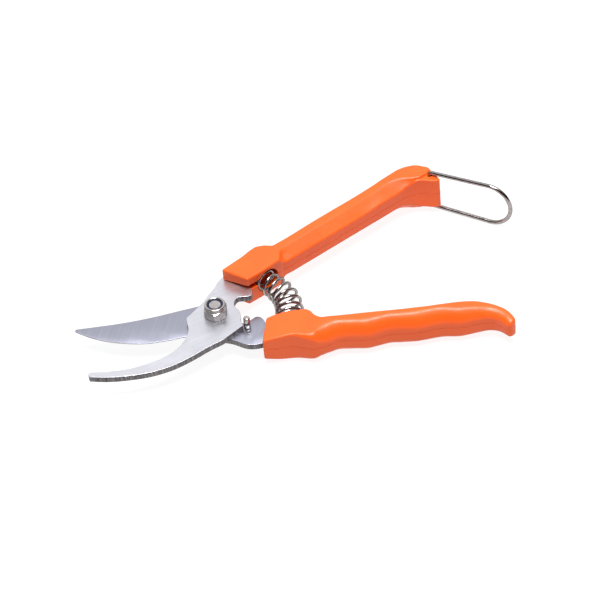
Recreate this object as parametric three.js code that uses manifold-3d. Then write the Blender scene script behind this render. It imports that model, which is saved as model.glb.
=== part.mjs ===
// Bypass pruner with two moulded handles, a compression spring and a wire closing bail.
// Millimetres, +Z up. The origin is on the pivot axis at the underside of the bolt head,
// +X runs down the middle of the open handles, the blades point along -X.
import * as THREE from "three";
import { ConvexGeometry } from "three/addons/geometries/ConvexGeometry.js";
import { mergeVertices } from "three/addons/utils/BufferGeometryUtils.js";
import Module from "manifold-3d";

const wasm = await Module();
wasm.setup();

// ---- Driving dimensions -------------------------------------------------------------------

const BLADE_T = 3.1; // stamped steel of both blades
const SLIP = 0.1; // running clearance between plates, washer and bolt head
const BOLT_R = 3; // M6 pivot bolt
const BOLT_HEAD_H = 4;
const HEX_FLATS = 10;
const PIVOT_HOLE_R = 3.06;
const WASHER_R = 6;
const WASHER_T = 1.6;
const NUT_H = 4.6; // hexagon part of the lock nut
const COLLAR_H = 2; // round collar that holds the nylon ring
const COLLAR_R = 4.8;
const COLLAR_WALL = 0.7;
const BOLT_END = 0.5; // bolt end below the collar's rim
const ROUND = 48; // sides of a round part

const PIN_R = 1.5; // stop pin, riveted in the cutting blade
const PIN_AT = [12.0, -9.9];
const PIN_RISE = 6.4; // above the cutting blade

const HALF_UPPER = 8; // half thickness of the upper handle's bar
const HALF_UPPER_END = 9.7; // and of its raised end
const SLOPE_WALL = 4.1; // upright wall under the bar's slope, from the parting plane
const HALF_LOWER = 9; // half thickness of the finger-grooved handle
const TIP_TOP = 7.4; // half thickness of its tip above the parting plane
const TIP_UNDER = 6.6; // and below it, where the tip passes over the bail's leg
const BLOCK_FRONT = 5.7; // half thickness of its front block at the blades
const BLOCK_BACK = 7.9; // and where the block meets the grip
const SEAM = 0.1; // gap between the two shells of a handle
const TANG_PLAY = 0.2; // room between a tang and its pocket
const EDGE = 0.8; // rounding of the moulded edges
const PEG_R = 1.6; // moulded pegs through the tangs
const PEG_PLAY = 0.2;

const WIRE_R = 1; // bail wire
const BAIL_AT = [117.6, 51.4]; // axis of the two bail holes
const BAIL_ANGLE = -40.9; // direction of the bail at rest, degrees from +X
const BAIL_LEG = 30.3; // straight part of a leg
const BAIL_LENGTH = 41;
const BAIL_HALF_NEAR = 10.1; // half spacing of the legs at the holes
const BAIL_HALF_FAR = 11.1; // and where the loop begins
const BAIL_DROP = 0.3; // the loose bail hangs below the handle's parting plane
const BAIL_BEND = 1.6; // bend radius where a leg turns into its hole
const BAIL_HOOK = 6; // length of the turned-in end, from the leg's centre line
const BAIL_HOLE_R = 1.25;
const LEDGE_DROP = 1.3; // the ledges under the bail's legs, below the raised end

const SPRING_WIRE_R = 0.7;
const SPRING_R_SMALL = 4.3; // coil radius at the upper handle, to the wire's centre
const SPRING_R_LARGE = 6.0; // and at the lower handle
const SPRING_FLARE = 2.4; // how early the coil widens: 1 is a plain cone
const SPRING_TURNS = 8.5;
const SPRING_TOP = [28.4, 16.2]; // centre of the spring's mouth on the upper handle's face
const SPRING_FOOT = [31.2, -11.4]; // centre of its seat on the lower handle's face
const SPRING_TOP_DIR = -66; // direction of the spring's axis at the upper end, degrees
const SPRING_FOOT_DIR = -94.6; // and at the lower end, square to the face it stands on
const POCKET_R = 6.1;
const POCKET_DEPTH = 4;
const SPRING_BELLY = [[29, 13.8], [31.3, 9.4], [33.1, 5.2], [33.8, 0.4], [33.1, -5]]; // between the ends
const BOSS_R = 4.4; // moulded boss that locates the spring's large end
const BOSS_H = 2.8;
const BOSS_ROOT = 1.4; // how far it starts inside the face

// ---- Levels worked out from them ----------------------------------------------------------

const Z_WASHER = BOLT_HEAD_H + SLIP;
const Z_CUTTING = Z_WASHER + WASHER_T + SLIP;
const Z_COUNTER = Z_CUTTING + BLADE_T + SLIP;
const Z_NUT = Z_COUNTER + BLADE_T + SLIP;
const Z_COLLAR = Z_NUT + NUT_H;
const MID_UPPER = Z_COUNTER + BLADE_T / 2; // parting plane of the upper handle
const MID_LOWER = Z_CUTTING + BLADE_T / 2; // parting plane of the lower handle

// ---- Finishes -----------------------------------------------------------------------------

const finish = (color, roughness, metalness) =>
  new THREE.MeshStandardMaterial({ color, roughness, metalness });
const ORANGE = finish(0xeb5a1e, 0.45, 0);
const BRUSHED_STEEL = finish(0xd4d6dc, 0.38, 0.9);
const BRIGHT_STEEL = finish(0xc9c5c0, 0.2, 1);
const NYLON = finish(0x15182c, 0.5, 0);

// ---- Tools --------------------------------------------------------------------------------

const radians = THREE.MathUtils.degToRad;
const points = (list) => list.map(([x, y]) => new THREE.Vector2(x, y));
const heading = (degrees) => [Math.cos(radians(degrees)), Math.sin(radians(degrees))];

/** A closed geometry as a manifold solid. */
function solid(geometry) {
  const bare = geometry.clone();
  bare.deleteAttribute("normal");
  bare.deleteAttribute("uv");
  const merged = mergeVertices(bare, 1e-4);
  return new wasm.Manifold(
    new wasm.Mesh({
      numProp: 3,
      vertProperties: merged.attributes.position.array,
      triVerts: new Uint32Array(merged.index.array),
    }),
  );
}

/** A solid as a named mesh. */
function piece(name, body, material) {
  const { vertProperties, triVerts } = body.getMesh();
  const geometry = new THREE.BufferGeometry();
  geometry.setAttribute("position", new THREE.BufferAttribute(vertProperties, 3));
  geometry.setIndex(new THREE.BufferAttribute(triVerts, 1));
  geometry.computeVertexNormals();
  const mesh = new THREE.Mesh(geometry, material);
  mesh.name = name;
  return mesh;
}

/** An outline standing from level low to level high, its rims rounded by edge. */
function slab(shape, low, high, edge = 0) {
  const geometry = new THREE.ExtrudeGeometry(shape, {
    depth: high - low - 2 * edge,
    curveSegments: 4,
    bevelEnabled: edge > 0,
    bevelThickness: edge,
    bevelSize: edge,
    bevelOffset: -edge,
    bevelSegments: 2,
  });
  return solid(geometry.translate(0, 0, low + edge));
}

/** A solid of revolution about +Z through (x, y), from an open profile that ends on the axis. */
function turned(profile, [x, y] = [0, 0], sides = ROUND) {
  return solid(new THREE.LatheGeometry(points(profile), sides).rotateX(Math.PI / 2).translate(x, y, 0));
}

/** A round bar along +Z through (x, y). */
function bar(radius, low, high, at = [0, 0], sides = ROUND) {
  return turned([[0, low], [radius, low], [radius, high], [0, high]], at, sides);
}

/** A round bar that starts at a level point and runs level along a direction in degrees. */
function levelBar(radius, [x, y], z, degrees, length) {
  const geometry = new THREE.CylinderGeometry(radius, radius, length, ROUND);
  geometry.rotateZ(-Math.PI / 2).translate(length / 2, 0, 0);
  return solid(geometry.rotateZ(radians(degrees)).translate(x, y, z));
}

/** The convex solid round a list of points. */
const hull = (corners) => solid(new ConvexGeometry(corners.map((c) => new THREE.Vector3(...c))));

/** A hexagon centred on the pivot. */
function hexagon(flats) {
  const corners = [0, 1, 2, 3, 4, 5].map((i) => heading(60 * i + 12));
  const reach = flats / Math.sqrt(3);
  return new THREE.Shape(points(corners.map(([x, y]) => [x * reach, y * reach])));
}

/** A level strip between two points, with round ends. */
function strip([x0, y0], [x1, y1], half) {
  const turn = Math.atan2(y1 - y0, x1 - x0);
  const shape = new THREE.Shape();
  shape.absarc(x1, y1, half, turn - Math.PI / 2, turn + Math.PI / 2, false);
  shape.absarc(x0, y0, half, turn + Math.PI / 2, turn + (3 * Math.PI) / 2, false);
  return shape;
}

/** The same body mirrored in a level plane. */
const mirrored = (body, level) => body.mirror([0, 0, 1]).translate([0, 0, 2 * level]);

// ---- Blades -------------------------------------------------------------------------------

const UPPER_PEGS = [[24, 24.6], [54, 32.6]];
const LOWER_PEGS = [[26, -17], [54, -25.6]];
const TANG_HALF = 3.2; // half width of a tang inside its handle
const TANG_ROOT = 8; // where that strip starts, before its first peg hole
const TANG_REACH = 3; // and its length beyond the second

const BEVEL_WIDTH = 6; // ground bevel under the cutting edge
const BEVEL_LAND = 0.2; // steel left above it
const EDGE_LINE = [[-63.3, 13.8], [-55.3, 5.9], [-45, -0.4], [-34, -4.5], [-24, -5.9], [-14, -6.6]];

/** Outline of the cutting blade, up to where its tang enters the handle. */
function cuttingOutline() {
  const shape = new THREE.Shape();
  shape.moveTo(...EDGE_LINE[0]);
  shape.splineThru(points([...EDGE_LINE.slice(1), [-5, -10.6]]));
  shape.splineThru(points([[3, -14.8], [10.2, -20.9], [15, -21.9], [19, -21.4]]));
  shape.lineTo(25, -20);
  shape.lineTo(25, -13.6);
  shape.lineTo(21.4, -12.4);
  shape.splineThru(points([[20.6, -8.8], [19.9, -5.9], [17.8, -4.2], [15.2, -5.2], [12, -6.6], [9.4, -5.2]]));
  shape.splineThru(points([[10.3, 0], [6.4, 8], [-1, 10.9], [-10, 11.2]]));
  shape.splineThru(points([[-28, 11.2], [-42, 12.1], [-53, 13.6], [-62, 15.2]]));
  return shape;
}

/** Outline of the hooked counter blade, up to where its tang enters the handle. */
function counterOutline() {
  const shape = new THREE.Shape();
  shape.moveTo(-63.9, -18.9);
  shape.quadraticCurveTo(-63.8, -20.2, -62.6, -20.6);
  shape.splineThru(points([
    [-56, -23.2], [-47, -25.3], [-37, -26.5], [-27, -25.7], [-17, -22.8], [-7.5, -19.1],
  ]));
  shape.lineTo(-1, -17.1);
  shape.lineTo(10.1, -10.9);
  shape.splineThru(points([[9.7, -8.2], [10.5, -4.4], [10.6, -1], [9.4, 2.4], [10.2, 5.6], [12.2, 7.5]]));
  shape.splineThru(points([[15.2, 7], [18.5, 6.3], [19.6, 8.6]]));
  shape.lineTo(19.6, 12);
  shape.lineTo(18.4, 15);
  shape.lineTo(18.4, 26);
  shape.lineTo(9.4, 23.4);
  shape.splineThru(points([[6.2, 20.7], [3.2, 17], [-0.5, 13.4], [-3.7, 9.9], [-6.6, 7.4]]));
  shape.lineTo(-13.4, 2.2);
  shape.splineThru(points([[-13.9, -1], [-14.2, -5], [-16.6, -10.1], [-21.4, -15.2], [-29, -19]]));
  shape.splineThru(points([[-37, -20.6], [-46, -21], [-55, -19.6], [-62.6, -17.5]]));
  return shape;
}

/** The strip of a tang inside a handle, as a solid between two levels. */
function tang(pegs, low, high, play = 0) {
  const [[x0, y0], [x1, y1]] = pegs;
  const length = Math.hypot(x1 - x0, y1 - y0);
  const [ux, uy] = [(x1 - x0) / length, (y1 - y0) / length];
  const root = [x0 - ux * TANG_ROOT, y0 - uy * TANG_ROOT];
  return slab(strip(root, [x1 + ux * TANG_REACH, y1 + uy * TANG_REACH], TANG_HALF + play), low, high);
}

/** A blade: its plate and tang, with the pivot hole and the peg holes. */
function blade(outline, pegs, low) {
  const high = low + BLADE_T;
  let body = slab(outline, low, high).add(tang(pegs, low, high));
  body = body.subtract(bar(PIVOT_HOLE_R, low - 1, high + 1));
  for (const peg of pegs) body = body.subtract(bar(PEG_R + PEG_PLAY, low - 1, high + 1, peg, 24));
  return body;
}

/** The ground bevel: a row of wedges that leave the cutting edge at the blade's upper face. */
function edgeBevel() {
  const edge = new THREE.SplineCurve(points(EDGE_LINE));
  const [low, high] = [Z_CUTTING, Z_CUTTING + BLADE_T - BEVEL_LAND];
  const outside = 2;
  const section = (t) => {
    const { x, y } = edge.getPoint(t);
    const along = edge.getTangent(t);
    const at = (inward, z) => [x - along.y * inward, y + along.x * inward, z];
    const rise = ((high - low) / BEVEL_WIDTH) * (BEVEL_WIDTH + outside);
    return [at(BEVEL_WIDTH, low), at(-outside, low + rise), at(-outside, low - 1), at(BEVEL_WIDTH, low - 1)];
  };
  const steps = 12;
  const wedge = (i) => hull([...section(i / steps), ...section((i + 1) / steps)]);
  const wedges = [...Array(steps).keys()].map(wedge);
  return wedges.reduce((sum, wedge) => sum.add(wedge));
}

function cuttingBlade() {
  let body = blade(cuttingOutline(), LOWER_PEGS, Z_CUTTING).subtract(edgeBevel());
  body = body.subtract(bar(PIN_R + 0.05, Z_CUTTING - 1, Z_COUNTER, PIN_AT, 24));
  return piece("cutting_blade", body, BRUSHED_STEEL);
}

const counterBlade = () =>
  piece("counter_blade", blade(counterOutline(), UPPER_PEGS, Z_COUNTER), BRUSHED_STEEL);

/** Stop pin with a shank riveted through the blade and a domed top. */
function stopPin() {
  const top = Z_CUTTING + BLADE_T + PIN_RISE;
  const dome = [75, 60, 45, 30, 15].map((a) => {
    const [c, s] = heading(90 - a);
    return [PIN_R * s, top - PIN_R * 0.5 + PIN_R * 0.5 * c];
  });
  const foot = Z_CUTTING + 0.1;
  const profile = [[0, foot], [PIN_R, foot], ...dome.sort((a, b) => b[0] - a[0]), [0, top]];
  return piece("stop_pin", turned(profile, PIN_AT, 24), BRIGHT_STEEL);
}

// ---- Pivot --------------------------------------------------------------------------------

function pivotBolt() {
  const end = Z_COLLAR + COLLAR_H - BOLT_END;
  const head = slab(hexagon(HEX_FLATS), 0, BOLT_HEAD_H);
  const reach = HEX_FLATS / 2 + 1;
  const crown = turned([[0, 0], [HEX_FLATS / 2 - 0.2, 0], [reach, 0.7], [reach, 5], [0, 5]]);
  const shank = turned([[0, 1], [BOLT_R, 1], [BOLT_R, end - 0.5], [BOLT_R - 0.5, end], [0, end]]);
  return piece("pivot_bolt", head.intersect(crown).add(shank), BRIGHT_STEEL);
}

function pivotWasher() {
  const body = bar(WASHER_R, Z_WASHER, Z_WASHER + WASHER_T).subtract(bar(BOLT_R + 0.2, 0, Z_CUTTING));
  return piece("pivot_washer", body, BRIGHT_STEEL);
}

/** Lock nut: a hexagon with a chamfered top, and a thin collar round the nylon ring. */
function lockNut() {
  const reach = HEX_FLATS / Math.sqrt(3);
  const crown = turned([
    [0, Z_NUT],
    [reach - 0.4, Z_NUT],
    [reach + 0.2, Z_NUT + 0.4],
    [reach + 0.2, Z_COLLAR - 0.8],
    [COLLAR_R, Z_COLLAR],
    [0, Z_COLLAR],
  ]);
  const top = Z_COLLAR + COLLAR_H;
  const collar = turned([
    [0, Z_COLLAR - 1],
    [COLLAR_R, Z_COLLAR - 1],
    [COLLAR_R, top - 0.7],
    [COLLAR_R - 0.5, top],
    [0, top],
  ]);
  const body = slab(hexagon(HEX_FLATS), Z_NUT, Z_COLLAR).intersect(crown).add(collar);
  const seat = bar(COLLAR_R - COLLAR_WALL, Z_COLLAR - 0.6, top + 1);
  return piece("lock_nut", body.subtract(seat).subtract(bar(BOLT_R + 0.04, 0, top + 1)), BRIGHT_STEEL);
}

function nylonRing() {
  const body = bar(COLLAR_R - COLLAR_WALL - 0.05, Z_COLLAR - 0.55, Z_COLLAR + COLLAR_H - 0.3);
  return piece("lock_nut_nylon_ring", body.subtract(bar(BOLT_R + 0.04, 0, Z_COLLAR + 5)), NYLON);
}

// ---- Upper handle -------------------------------------------------------------------------

/** Plan of the upper handle: front block, straight bar and the end that turns inwards. */
function upperOutline() {
  const shape = new THREE.Shape();
  shape.moveTo(18.1, 10.9);
  shape.lineTo(26.3, 14.3);
  shape.lineTo(35.4, 19);
  shape.lineTo(39.5, 20.7);
  shape.lineTo(100, 46.8);
  shape.splineThru(points([[104.5, 48.4], [109.5, 49.4], [113.5, 48.6], [117, 46.6], [120, 45.9]]));
  shape.splineThru(points([[121.6, 46.7], [122, 48.6]]));
  shape.lineTo(119.4, 53.3);
  shape.splineThru(points([[116.8, 56.6], [112.6, 59], [107.6, 59.6], [101, 57.8]]));
  shape.lineTo(35.4, 29.5);
  shape.splineThru(points([[32, 30.7], [29.1, 31.4], [26.6, 31], [23.8, 29.4], [20.3, 27.3]]));
  shape.lineTo(8.5, 21.3);
  return shape;
}

/** The cut that keeps the raised end off the bar: it ramps up from the bar to the end. */
function endRamp() {
  const [low, high] = [MID_UPPER + HALF_UPPER, MID_UPPER + HALF_UPPER_END];
  const [start, stop] = [88, 106];
  const corners = [[-10, low], [start, low], [stop, high], [stop, high + 2], [-10, high + 2]];
  return hull(corners.flatMap(([x, z]) => [[x, -10, z], [x, 90, z]]));
}

/** Plan of the ledge that a bail leg swings over, bounded by the raised rim. */
function ledgeOutline() {
  const shape = new THREE.Shape();
  shape.moveTo(104, 44);
  shape.lineTo(104.5, 51.6);
  shape.splineThru(points([[108.4, 51.2], [111.6, 50.6], [114.4, 51], [117.2, 53.2], [119.4, 56]]));
  shape.lineTo(126, 56);
  shape.lineTo(126, 42);
  shape.lineTo(104, 42);
  return shape;
}

/** Slope of the bar's inner side: it starts at the block and dies out at the raised end. */
function innerSlope() {
  const top = MID_UPPER + HALF_UPPER;
  const beyond = MID_UPPER + SLOPE_WALL - 2.5; // the slope carried on past the wall
  const crest = [[38.2, 26.3, top], [100.5, 53, top], [109, 51.4, top + 0.6]];
  const foot = [[41.3, 17.4, beyond], [99, 42.4, beyond]];
  const low = [...crest, ...foot];
  return hull([...low, ...low.map(([x, y]) => [x, y, top + 6])]);
}

/** Cuts a handle at its parting plane, and puts the pegs in the upper shell. */
function shells(body, mid, pegs, names) {
  const plan = new THREE.Shape(points([[-90, -90], [190, -90], [190, 90], [-90, 90]]));
  const block = (low, high) => slab(plan, low, high);
  let upper = body.intersect(block(mid + SEAM / 2, mid + 20));
  let lower = body.intersect(block(mid - 20, mid - SEAM / 2));
  for (const peg of pegs) {
    upper = upper.add(bar(PEG_R, mid - 4, mid + 4, peg, 24));
    lower = lower.subtract(bar(PEG_R + PEG_PLAY, mid - 4.3, mid, peg, 24));
  }
  return [piece(names[0], upper, ORANGE), piece(names[1], lower, ORANGE)];
}

/** The room for a blade's plate and tang inside a handle. */
function tangRoom(outline, pegs, low) {
  const [floor, roof] = [low - TANG_PLAY, low + BLADE_T + TANG_PLAY];
  const grown = slab(outline, floor, roof);
  const shifts = [[TANG_PLAY, 0], [-TANG_PLAY, 0], [0, TANG_PLAY], [0, -TANG_PLAY]];
  const plate = shifts.reduce((sum, [x, y]) => sum.add(grown.translate([x, y, 0])), grown);
  return plate.add(tang(pegs, floor, roof, TANG_PLAY));
}

function upperHandle() {
  let body = slab(upperOutline(), MID_UPPER - HALF_UPPER, MID_UPPER + HALF_UPPER, EDGE);
  const end = slab(upperOutline(), MID_UPPER - HALF_UPPER_END, MID_UPPER + HALF_UPPER_END, EDGE);
  body = body.add(end.subtract(endRamp()).subtract(mirrored(endRamp(), MID_UPPER)));
  const ledge = slab(ledgeOutline(), MID_UPPER + HALF_UPPER_END - LEDGE_DROP, MID_UPPER + HALF_UPPER_END + 1);
  for (const cut of [ledge, innerSlope()]) body = body.subtract(cut).subtract(mirrored(cut, MID_UPPER));
  body = body.subtract(tangRoom(counterOutline(), UPPER_PEGS, Z_COUNTER));
  const [dx, dy] = heading(SPRING_TOP_DIR);
  const mouth = [SPRING_TOP[0] - dx * POCKET_DEPTH, SPRING_TOP[1] - dy * POCKET_DEPTH];
  body = body.subtract(levelBar(POCKET_R, mouth, MID_UPPER, SPRING_TOP_DIR, POCKET_DEPTH + 5));
  const depth = BAIL_HALF_NEAR - BAIL_HOOK - BAIL_DROP - 1;
  const hole = bar(BAIL_HOLE_R, MID_UPPER + depth, MID_UPPER + 20, BAIL_AT, 24);
  body = body.subtract(hole).subtract(mirrored(hole, MID_UPPER));
  return shells(body, MID_UPPER, UPPER_PEGS, ["upper_handle_top_shell", "upper_handle_bottom_shell"]);
}

// ---- Lower handle -------------------------------------------------------------------------

/** Plan of the lower handle at its parting plane: front block, four finger grooves, hooked tip. */
function lowerOutline() {
  const shape = new THREE.Shape();
  shape.moveTo(15.3, -25.3);
  shape.lineTo(29, -27.4);
  shape.splineThru(points([
    [37.5, -32.4], [49.3, -31], [63.5, -34.7], [72, -34.4], [85.3, -37.5], [95, -37.9],
    [106, -41.5], [114, -41.9], [119.2, -44.4], [122.4, -48.8],
  ]));
  shape.splineThru(points([
    [124.8, -50.6], [127, -48.2], [127.2, -44], [123.6, -39.4], [117.7, -36], [108, -33.6],
  ]));
  shape.lineTo(45.5, -21.4);
  shape.splineThru(points([[42.4, -18.8], [40.4, -13.8], [37, -11.9]]));
  shape.lineTo(21, -10.6);
  return shape;
}

/** One flat cut, through an inner and an outer line and carried on past the outer one. */
function flatCut(inner, innerZ, outer, outerZ) {
  const out = 9;
  const low = inner.flatMap(([ax, ay], k) => {
    const [bx, by] = outer[k];
    const reach = out / Math.hypot(bx - ax, by - ay);
    const end = [ax + (bx - ax) * reach, ay + (by - ay) * reach, innerZ - (innerZ - outerZ) * reach];
    return [[ax, ay, innerZ], end];
  });
  return hull([...low, ...low.map(([x, y]) => [x, y, MID_LOWER + HALF_LOWER + 3])]);
}

/** Rounding of the grip's outer side: two flats for each stretch between front block and tip. */
function outerSlopes() {
  const top = MID_LOWER + HALF_LOWER;
  const equator = [[33, -30.4], [43, -31.6], [72, -35.4], [100, -40.4], [117, -43.6]];
  const crest = [[33, -28.4], ...equator.slice(1).map(([x, y]) => [x - 0.9, y + 4.4])];
  const share = 0.27; // of the way from the equator to the crest
  const shoulder = crest.map(([x, y], i) => [
    share * x + (1 - share) * equator[i][0],
    share * y + (1 - share) * equator[i][1],
  ]);
  const pair = (line, i) => [line[i], line[i + 1]];
  return equator.slice(1).flatMap((_, i) => [
    flatCut(pair(crest, i), top, pair(shoulder, i), top - 2.6),
    flatCut(pair(shoulder, i), top - 2.6, pair(equator, i), top - 6.5),
  ]);
}

/** A wedge across the handle above a sloping line of [x, height] points, carried up past the handle. */
function ramp(line) {
  const top = MID_LOWER + HALF_LOWER + 3;
  const [first, last] = [line[0], line[line.length - 1]];
  const corners = [...line, [last[0], top], [first[0], top]];
  return hull(corners.flatMap(([x, z]) => [[x, -62, z], [x, 0, z]]));
}

/** The wedges that thin the front block towards the blades and the tip towards its end. */
function handleTapers(tip) {
  const [top, front, back] = [HALF_LOWER, BLOCK_FRONT, BLOCK_BACK].map((half) => MID_LOWER + half);
  const end = MID_LOWER + tip;
  const [x0, x1, x2] = [15, 28, 43];
  const steep = (back - front) / (x1 - x0);
  return [
    ramp([[x0 - 5, front - 5 * steep], [x1, back]]),
    ramp([[x1 - 0.1, back], [x2, top]]),
    ramp([[88, top], [106, end]]),
    ramp([[105.9, end], [140, end]]),
  ];
}

function lowerHandle() {
  let body = slab(lowerOutline(), MID_LOWER - HALF_LOWER, MID_LOWER + HALF_LOWER, EDGE);
  for (const cut of outerSlopes()) body = body.subtract(cut).subtract(mirrored(cut, MID_LOWER));
  for (const cut of handleTapers(TIP_TOP)) body = body.subtract(cut);
  for (const cut of handleTapers(TIP_UNDER)) body = body.subtract(mirrored(cut, MID_LOWER));
  body = body.subtract(tangRoom(cuttingOutline(), LOWER_PEGS, Z_CUTTING));
  const [dx, dy] = heading(SPRING_FOOT_DIR);
  const root = [SPRING_FOOT[0] + dx * BOSS_ROOT, SPRING_FOOT[1] + dy * BOSS_ROOT];
  body = body.add(levelBar(BOSS_R, root, MID_LOWER, SPRING_FOOT_DIR + 180, BOSS_ROOT + BOSS_H));
  return shells(body, MID_LOWER, LOWER_PEGS, ["lower_handle_top_shell", "lower_handle_bottom_shell"]);
}

// ---- Spring and bail ----------------------------------------------------------------------

/** A round wire along a curve. */
function wire(curve, radius, steps, sides) {
  const ring = new THREE.Shape();
  ring.absarc(0, 0, radius, 0, 2 * Math.PI, false);
  return solid(
    new THREE.ExtrudeGeometry(ring, {
      steps,
      extrudePath: curve,
      curveSegments: sides / 2,
      bevelEnabled: false,
    }),
  );
}

/** The bent centre line of the spring, from the bottom of its pocket to the lower seat. */
function springAxis() {
  const [ax, ay] = heading(SPRING_TOP_DIR);
  const [bx, by] = heading(SPRING_FOOT_DIR);
  const inset = POCKET_DEPTH - SPRING_WIRE_R - 0.2;
  const rise = SPRING_WIRE_R + 0.25;
  const line = [
    [SPRING_TOP[0] - ax * inset, SPRING_TOP[1] - ay * inset],
    ...SPRING_BELLY,
    [SPRING_FOOT[0] - bx * rise, SPRING_FOOT[1] - by * rise],
  ];
  const level = (i) => THREE.MathUtils.lerp(MID_UPPER, MID_LOWER, i / (line.length - 1));
  return new THREE.CatmullRomCurve3(line.map(([x, y], i) => new THREE.Vector3(x, y, level(i))));
}

/** A flared helix round the bent centre line, with closed end turns; the last stands square on its seat. */
class Coil extends THREE.Curve {
  constructor(axis) {
    super();
    this.axis = axis;
  }
  getPoint(t, target = new THREE.Vector3()) {
    const closed = 1.1 / SPRING_TURNS; // share of the wire in each end turn
    const rise = 2 * SPRING_WIRE_R * 1.08; // travel of a closed turn
    const length = this.axis.getLength();
    const end = rise / length;
    const along =
      t < closed ? (t / closed) * end
        : t > 1 - closed ? 1 - ((1 - t) / closed) * end
          : end + ((t - closed) / (1 - 2 * closed)) * (1 - 2 * end);
    const centre = this.axis.getPointAt(along);
    const seat = heading(SPRING_FOOT_DIR);
    const square = THREE.MathUtils.smoothstep(along, 0.75, 1);
    const tangent = this.axis.getTangentAt(along).lerp(new THREE.Vector3(...seat, 0), square).normalize();
    const side = new THREE.Vector3(0, 0, 1).cross(tangent).normalize();
    const up = new THREE.Vector3().crossVectors(tangent, side);
    const flare = 1 - (1 - along) ** SPRING_FLARE;
    const radius = THREE.MathUtils.lerp(SPRING_R_SMALL, SPRING_R_LARGE, flare);
    const turn = 2 * Math.PI * SPRING_TURNS * t;
    return target
      .copy(centre)
      .addScaledVector(side, radius * Math.cos(turn))
      .addScaledVector(up, radius * Math.sin(turn));
  }
}

const spring = () =>
  piece(
    "spring",
    wire(new Coil(springAxis()), SPRING_WIRE_R, Math.round(SPRING_TURNS * 18), 8),
    BRIGHT_STEEL,
  );

/** Bail: a U of wire in an upright plane, its ends turned in towards each other. */
function bail() {
  const [dx, dy] = heading(BAIL_ANGLE);
  const level = MID_UPPER - BAIL_DROP;
  const at = (out, up) => new THREE.Vector3(BAIL_AT[0] + dx * out, BAIL_AT[1] + dy * out, level + up);
  const half = [];
  const tip = BAIL_HALF_NEAR - BAIL_HOOK;
  half.push(at(0, tip), at(0, BAIL_HALF_NEAR - BAIL_BEND));
  for (const a of [30, 60]) {
    const [c, s] = heading(a);
    half.push(at(BAIL_BEND * (1 - c), BAIL_HALF_NEAR - BAIL_BEND * (1 - s)));
  }
  half.push(at(BAIL_BEND, BAIL_HALF_NEAR));
  for (const share of [0.35, 0.7, 1]) {
    half.push(at(BAIL_LEG * share, THREE.MathUtils.lerp(BAIL_HALF_NEAR, BAIL_HALF_FAR, share)));
  }
  for (const a of [18, 36, 54, 72]) {
    const [c, s] = heading(a);
    half.push(at(BAIL_LEG + (BAIL_LENGTH - BAIL_LEG) * s, BAIL_HALF_FAR * c));
  }
  const below = half.map((p) => new THREE.Vector3(p.x, p.y, 2 * level - p.z)).reverse();
  const path = new THREE.CatmullRomCurve3([...half, at(BAIL_LENGTH, 0), ...below], false, "centripetal");
  return piece("wire_bail", wire(path, WIRE_R, 84, 10), BRIGHT_STEEL);
}

// ---- Assembly -----------------------------------------------------------------------------

const pruner = new THREE.Group();
pruner.add(cuttingBlade(), counterBlade(), stopPin());
pruner.add(pivotBolt(), pivotWasher(), lockNut(), nylonRing());
pruner.add(...upperHandle(), ...lowerHandle());
pruner.add(spring(), bail());

export default pruner;
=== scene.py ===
"""Bypass pruner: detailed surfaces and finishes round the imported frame.

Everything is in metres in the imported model's own frame: the origin is on the pivot axis at the underside
of the bolt head, +X runs down the middle of the open handles and +Z points from the bolt head to the nut.
Outlines and sizes are written in millimetres and scaled once, when a mesh is made.
"""

from __future__ import annotations

import logging
import math
from dataclasses import dataclass, field
from enum import Enum

import bmesh
import bpy
import numpy as np
from mathutils import Matrix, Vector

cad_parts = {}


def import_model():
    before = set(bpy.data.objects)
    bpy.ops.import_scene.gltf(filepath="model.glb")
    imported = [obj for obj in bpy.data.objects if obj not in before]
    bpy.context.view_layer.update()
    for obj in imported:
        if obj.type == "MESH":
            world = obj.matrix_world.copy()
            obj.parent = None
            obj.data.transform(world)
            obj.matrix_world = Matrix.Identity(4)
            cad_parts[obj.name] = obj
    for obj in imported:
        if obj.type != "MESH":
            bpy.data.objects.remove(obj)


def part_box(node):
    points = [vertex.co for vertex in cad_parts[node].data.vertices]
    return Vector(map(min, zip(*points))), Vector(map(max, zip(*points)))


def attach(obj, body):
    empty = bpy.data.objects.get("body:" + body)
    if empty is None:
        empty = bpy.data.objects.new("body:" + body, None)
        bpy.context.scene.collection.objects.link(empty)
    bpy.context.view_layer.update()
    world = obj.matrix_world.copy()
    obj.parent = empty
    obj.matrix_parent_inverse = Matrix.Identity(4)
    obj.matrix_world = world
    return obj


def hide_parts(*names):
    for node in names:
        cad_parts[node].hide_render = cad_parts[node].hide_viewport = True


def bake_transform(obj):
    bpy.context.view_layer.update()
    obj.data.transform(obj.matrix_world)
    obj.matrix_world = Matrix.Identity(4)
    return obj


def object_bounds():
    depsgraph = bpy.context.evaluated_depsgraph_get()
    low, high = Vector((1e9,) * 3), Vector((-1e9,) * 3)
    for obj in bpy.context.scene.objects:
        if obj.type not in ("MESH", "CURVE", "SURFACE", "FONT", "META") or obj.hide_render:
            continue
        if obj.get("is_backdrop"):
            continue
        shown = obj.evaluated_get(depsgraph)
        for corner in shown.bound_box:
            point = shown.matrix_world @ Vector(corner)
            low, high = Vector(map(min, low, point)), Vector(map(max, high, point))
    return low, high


LOG = logging.getLogger("pruner")
MM = 0.001
Array = np.ndarray
Points = list[tuple[float, float]]


# ---- Numbers on curves ---------------------------------------------------------------------------


def unit(vectors: Array) -> Array:
    """Each vector divided by its own length."""
    return vectors / np.linalg.norm(vectors, axis=-1, keepdims=True)


def heading(degrees: float) -> Array:
    """The level unit vector (cos a, sin a, 0) of an angle from +X."""
    a = math.radians(degrees)
    return np.array([math.cos(a), math.sin(a), 0.0])


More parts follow.
